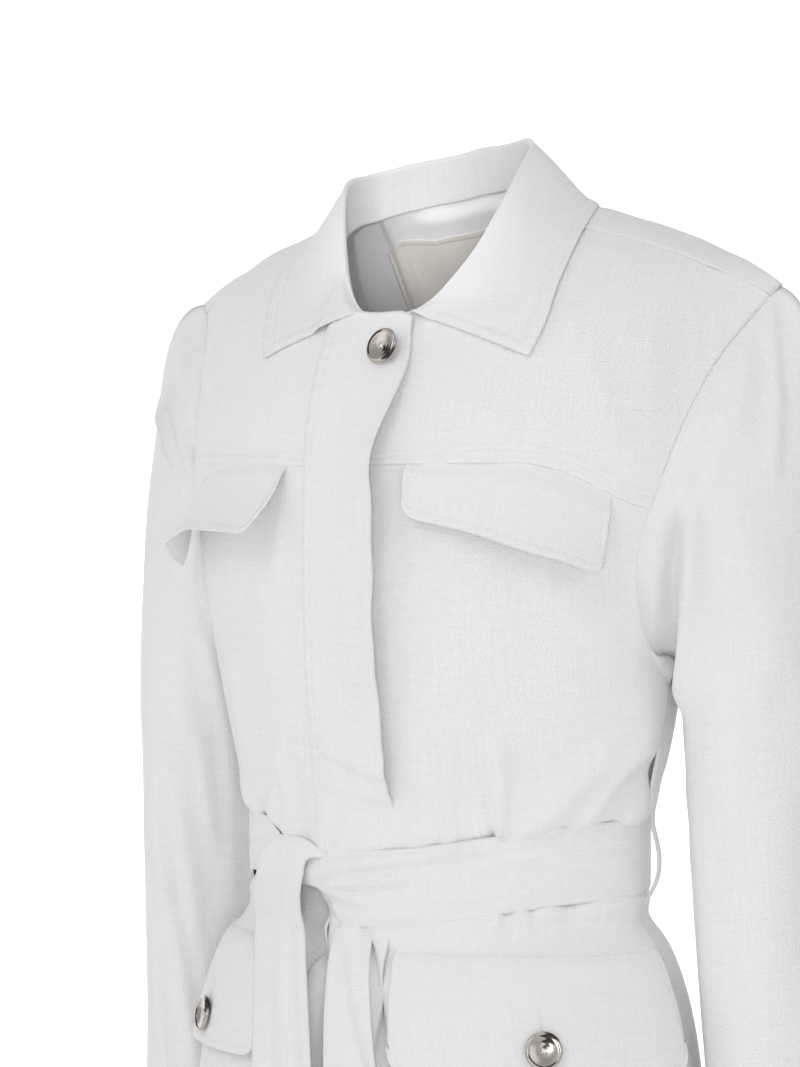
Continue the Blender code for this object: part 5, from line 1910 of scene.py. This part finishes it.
def make_metal(name):
    """Polished metal with painted reflections: a dark wedge and a dark rim crescent, drawn into the base
    colour by angle and radius.
    """
    material, tree, shader = new_material(name)
    parts = add_node(tree, "ShaderNodeSeparateXYZ")
    tree.links.new(add_node(tree, "ShaderNodeUVMap", uv_map="turned").outputs["UV"], parts.inputs[0])
    x = math_node(tree, "SUBTRACT", parts.outputs["X"], 0.5)
    y = math_node(tree, "SUBTRACT", parts.outputs["Y"], 0.5)
    angle = math_node(tree, "ARCTAN2", y, x)
    square = math_node(tree, "ADD", math_node(tree, "MULTIPLY", x, x), math_node(tree, "MULTIPLY", y, y))
    radius = math_node(tree, "SQRT", square)
    rings = math_node(tree, "SINE", math_node(tree, "MULTIPLY", radius, 46.0))
    swing = math_node(tree, "MULTIPLY", rings, 0.22)
    apart = math_node(tree, "ADD", math_node(tree, "SUBTRACT", angle, WEDGE_ANGLE), swing)
    wedge = ranged(tree, math_node(tree, "COSINE", apart), 0.86, 0.95, "SMOOTHSTEP")
    from_rim = math_node(tree, "ABSOLUTE", math_node(tree, "SUBTRACT", radius, RIM_RADIUS))
    on_rim = ranged(tree, from_rim, 0.030, 0.012, "SMOOTHSTEP")
    opposite = math_node(tree, "COSINE", math_node(tree, "SUBTRACT", angle, CRESCENT_ANGLE))
    across = ranged(tree, opposite, 0.35, 0.60, "SMOOTHSTEP")
    # painted reflection: the dark wedge and the rim crescent are painted into the base colour
    dark = math_node(tree, "MAXIMUM", wedge, math_node(tree, "MULTIPLY", on_rim, across))
    tree.links.new(blended(tree, dark, METAL_LIGHT, PAINTED_REFLECTION_DARK), shader.inputs["Base Color"])
    shader.inputs["Metallic"].default_value = 0.9
    shader.inputs["Roughness"].default_value = 0.24
    return material


button_metal = make_metal("polished_metal")
print("metal nodes:", len(button_metal.node_tree.nodes))

# %% Button profile and holes
Turned = namedtuple("Turned", "radius height")
BUTTON_PROFILE = (
    Turned(0.0000, 0.0000),
    Turned(0.0085, 0.0000),
    Turned(0.0108, 0.0006),
    Turned(0.0119, 0.0014),
    Turned(0.0122, 0.0022),
    Turned(0.0119, 0.0031),
    Turned(0.0112, 0.0038),
    Turned(0.0105, 0.0040),
    Turned(0.0099, 0.0038),
    Turned(0.0096, 0.0033),
    Turned(0.0092, 0.0033),
    Turned(0.0085, 0.0031),
    Turned(0.0065, 0.0025),
    Turned(0.0040, 0.0021),
    Turned(0.0000, 0.0020),
)
HOLE_AWAY, HOLE_RADIUS = 0.0021, 0.00085
DISH_Z, SPIN_STEPS = 0.0021, 72


def spin_profile(profile, steps):
    bm = bmesh.new()
    verts = [bm.verts.new((row.radius, 0.0, row.height)) for row in profile]
    edges = [bm.edges.new(pair) for pair in zip(verts, verts[1:])]
    bmesh.ops.spin(
        bm, geom=verts + edges, cent=(0, 0, 0), axis=(0, 0, 1), angle=2 * math.pi, steps=steps,
        use_merge=True,
    )
    bmesh.ops.remove_doubles(bm, verts=bm.verts, dist=1e-6)
    bmesh.ops.recalc_face_normals(bm, faces=bm.faces)
    return bm


def cut_holes(bm):
    """The button's mesh with four holes, cut by a Boolean and read back."""
    cutter_bm = bmesh.new()
    for sign_x, sign_y in ((1, 1), (1, -1), (-1, 1), (-1, -1)):
        spot = Matrix.Translation((sign_x * HOLE_AWAY / 1.414, sign_y * HOLE_AWAY / 1.414, 0.002))
        bmesh.ops.create_cone(
            cutter_bm, cap_ends=True, segments=16, radius1=HOLE_RADIUS, radius2=HOLE_RADIUS, depth=0.01,
            matrix=spot,
        )
    pair = []
    for name, item in (("button_blank", bm), ("button_cutter", cutter_bm)):
        pair.append(bpy.data.objects.new(name, to_mesh(item, name)))
        scene.collection.objects.link(pair[-1])
    cut = pair[0].modifiers.new("holes", "BOOLEAN")
    cut.operation = "DIFFERENCE"
    cut.object = pair[1]
    ready = pair[0].evaluated_get(bpy.context.evaluated_depsgraph_get())
    mesh = bpy.data.meshes.new_from_object(ready)
    for item in pair:
        bpy.data.objects.remove(item)
    return mesh


print("button across:", 2 * max(row.radius for row in BUTTON_PROFILE), "m")


# %% Buttons
def set_button(name, place, facing, node, wedge_turn):
    """A button on the cloth, its face turned to the cloth's normal, with crossed thread in its holes."""
    mesh = cut_holes(spin_profile(BUTTON_PROFILE, SPIN_STEPS))
    layer = mesh.uv_layers.new(name="turned")
    spin = Matrix.Rotation(wedge_turn, 3, "Z")
    for loop in mesh.loops:
        spot = spin @ mesh.vertices[loop.vertex_index].co
        layer.data[loop.index].uv = (0.5 + spot.x * UV_PER_METRE, 0.5 + spot.y * UV_PER_METRE)
    stand = Matrix.Translation(Vector(place)) @ Vector(facing).to_track_quat("Z", "Y").to_matrix().to_4x4()
    mesh.transform(stand)
    mesh.polygons.foreach_set("use_smooth", np.ones(len(mesh.polygons), dtype=bool))
    mesh.set_sharp_from_angle(angle=math.radians(40))
    mesh.materials.append(button_metal)
    finish_piece(bpy.data.objects.new(name, mesh), [node])
    bm = bmesh.new()
    for slant in (math.pi / 4, -math.pi / 4):
        for aside in (-0.00025, 0.00025):
            shift = Matrix.Translation((0.0, aside, DISH_Z))
            size = Matrix.Diagonal((HOLE_AWAY + 0.0007, 0.00032, 0.00042, 1.0))
            laid = stand @ Matrix.Rotation(slant, 4, "Z") @ shift @ size
            bmesh.ops.create_icosphere(bm, subdivisions=2, radius=1.0, matrix=laid)
    thread = to_mesh(bm, name + "_thread")
    thread.polygons.foreach_set("use_smooth", np.ones(len(thread.polygons), dtype=bool))
    thread.materials.append(white_thread)
    finish_piece(bpy.data.objects.new(name + "_thread", thread), [])
    print(name, len(mesh.polygons), "faces")


BUTTON_TOP_X, BUTTON_TOP_Z, HIP_BUTTON_Z = 0.0105, -0.0975, -0.548
BUTTON_TOP_FACING = (-0.19, -0.98, 0.34)
BUTTON_TOP_CLEAR, BUTTON_HIP_CLEAR = 0.0018, 0.0007
HIP_BUTTON_TURNS = {"left": 43.0, "right": -51.0}
# how far each button's painted reflection wedge is turned
WEDGE_TURNS = {"neck": 1.9, "left": 0.2, "right": 0.6}
BAR_HALF, LEG_AWAY = 0.0027, 0.0006
top_off = FLY_OFF + FLY_WALL + BUTTON_TOP_CLEAR + fly_lift(BUTTON_TOP_X, BUTTON_TOP_Z)
top_place = off_front(np.array([BUTTON_TOP_X]), np.array([BUTTON_TOP_Z]), top_off)[0]
set_button("button_at_neck", top_place, BUTTON_TOP_FACING, "button_top", WEDGE_TURNS["neck"])
for name, flap in zip(BOTH, HIP_FLAPS):
    cloth = "cloth_" + flap.name
    u = (HIP_BUTTON_TURNS[name] - flap.inner) / (flap.outer - flap.inner)
    v = (HIP_FLAP_Z - HIP_BUTTON_Z) / mix(flap.inner_height, flap.outer_height, u)
    spot, out = on_sheet(cloth, np.array([u]), np.array([v]))
    place = spot[0] + out[0] * BUTTON_HIP_CLEAR
    set_button("button_on_hip_" + name, place, out[0], "button_hip_" + name, WEDGE_TURNS[name])
    half, side = BAR_HALF / sheets[cloth]["size"][0], LEG_AWAY / sheets[cloth]["size"][0]
    sew("buttonhole_" + name, [
        row_along(cloth, v - 0.31, u - half, u + half, 40),
        row_up(cloth, u - side, v - 0.30, v - 0.13, 60),
        row_up(cloth, u + side, v - 0.30, v - 0.13, 60),
    ], white_thread, pitch=0.0009, length=0.0010, thick=0.0008)

# %% [markdown]
# ## Belt carriers
#
# At each side seam a flat cord of thread loops round the belt. It is sewn down above and below it and
# stands off between, most of all low down.

# %% Belt carriers
CARRIER_TURN, CARRIER_WIDE, CARRIER_WALL = 96.0, 2.0, 0.0022
CARRIER_TOP, CARRIER_LOW = -0.389, -0.464
CARRIER_OFF, CARRIER_BOW = 0.0030, 0.0130


def carrier_surface(side):
    def point(u, v):
        turn = side * (CARRIER_TURN + (u - 0.5) * CARRIER_WIDE)
        off = CARRIER_OFF + CARRIER_BOW * np.sin(math.pi * v**1.25) ** 0.8
        return off_ring(turn, mix(CARRIER_TOP, CARRIER_LOW, v), off)

    return point


for name, side in zip(BOTH, (1.0, -1.0)):
    cut_sheet(
        "carrier_" + name, carrier_surface(side), even(4), even(40), CARRIER_WALL, white_thread,
        ["belt_loop_" + name], flip=side > 0,
    )
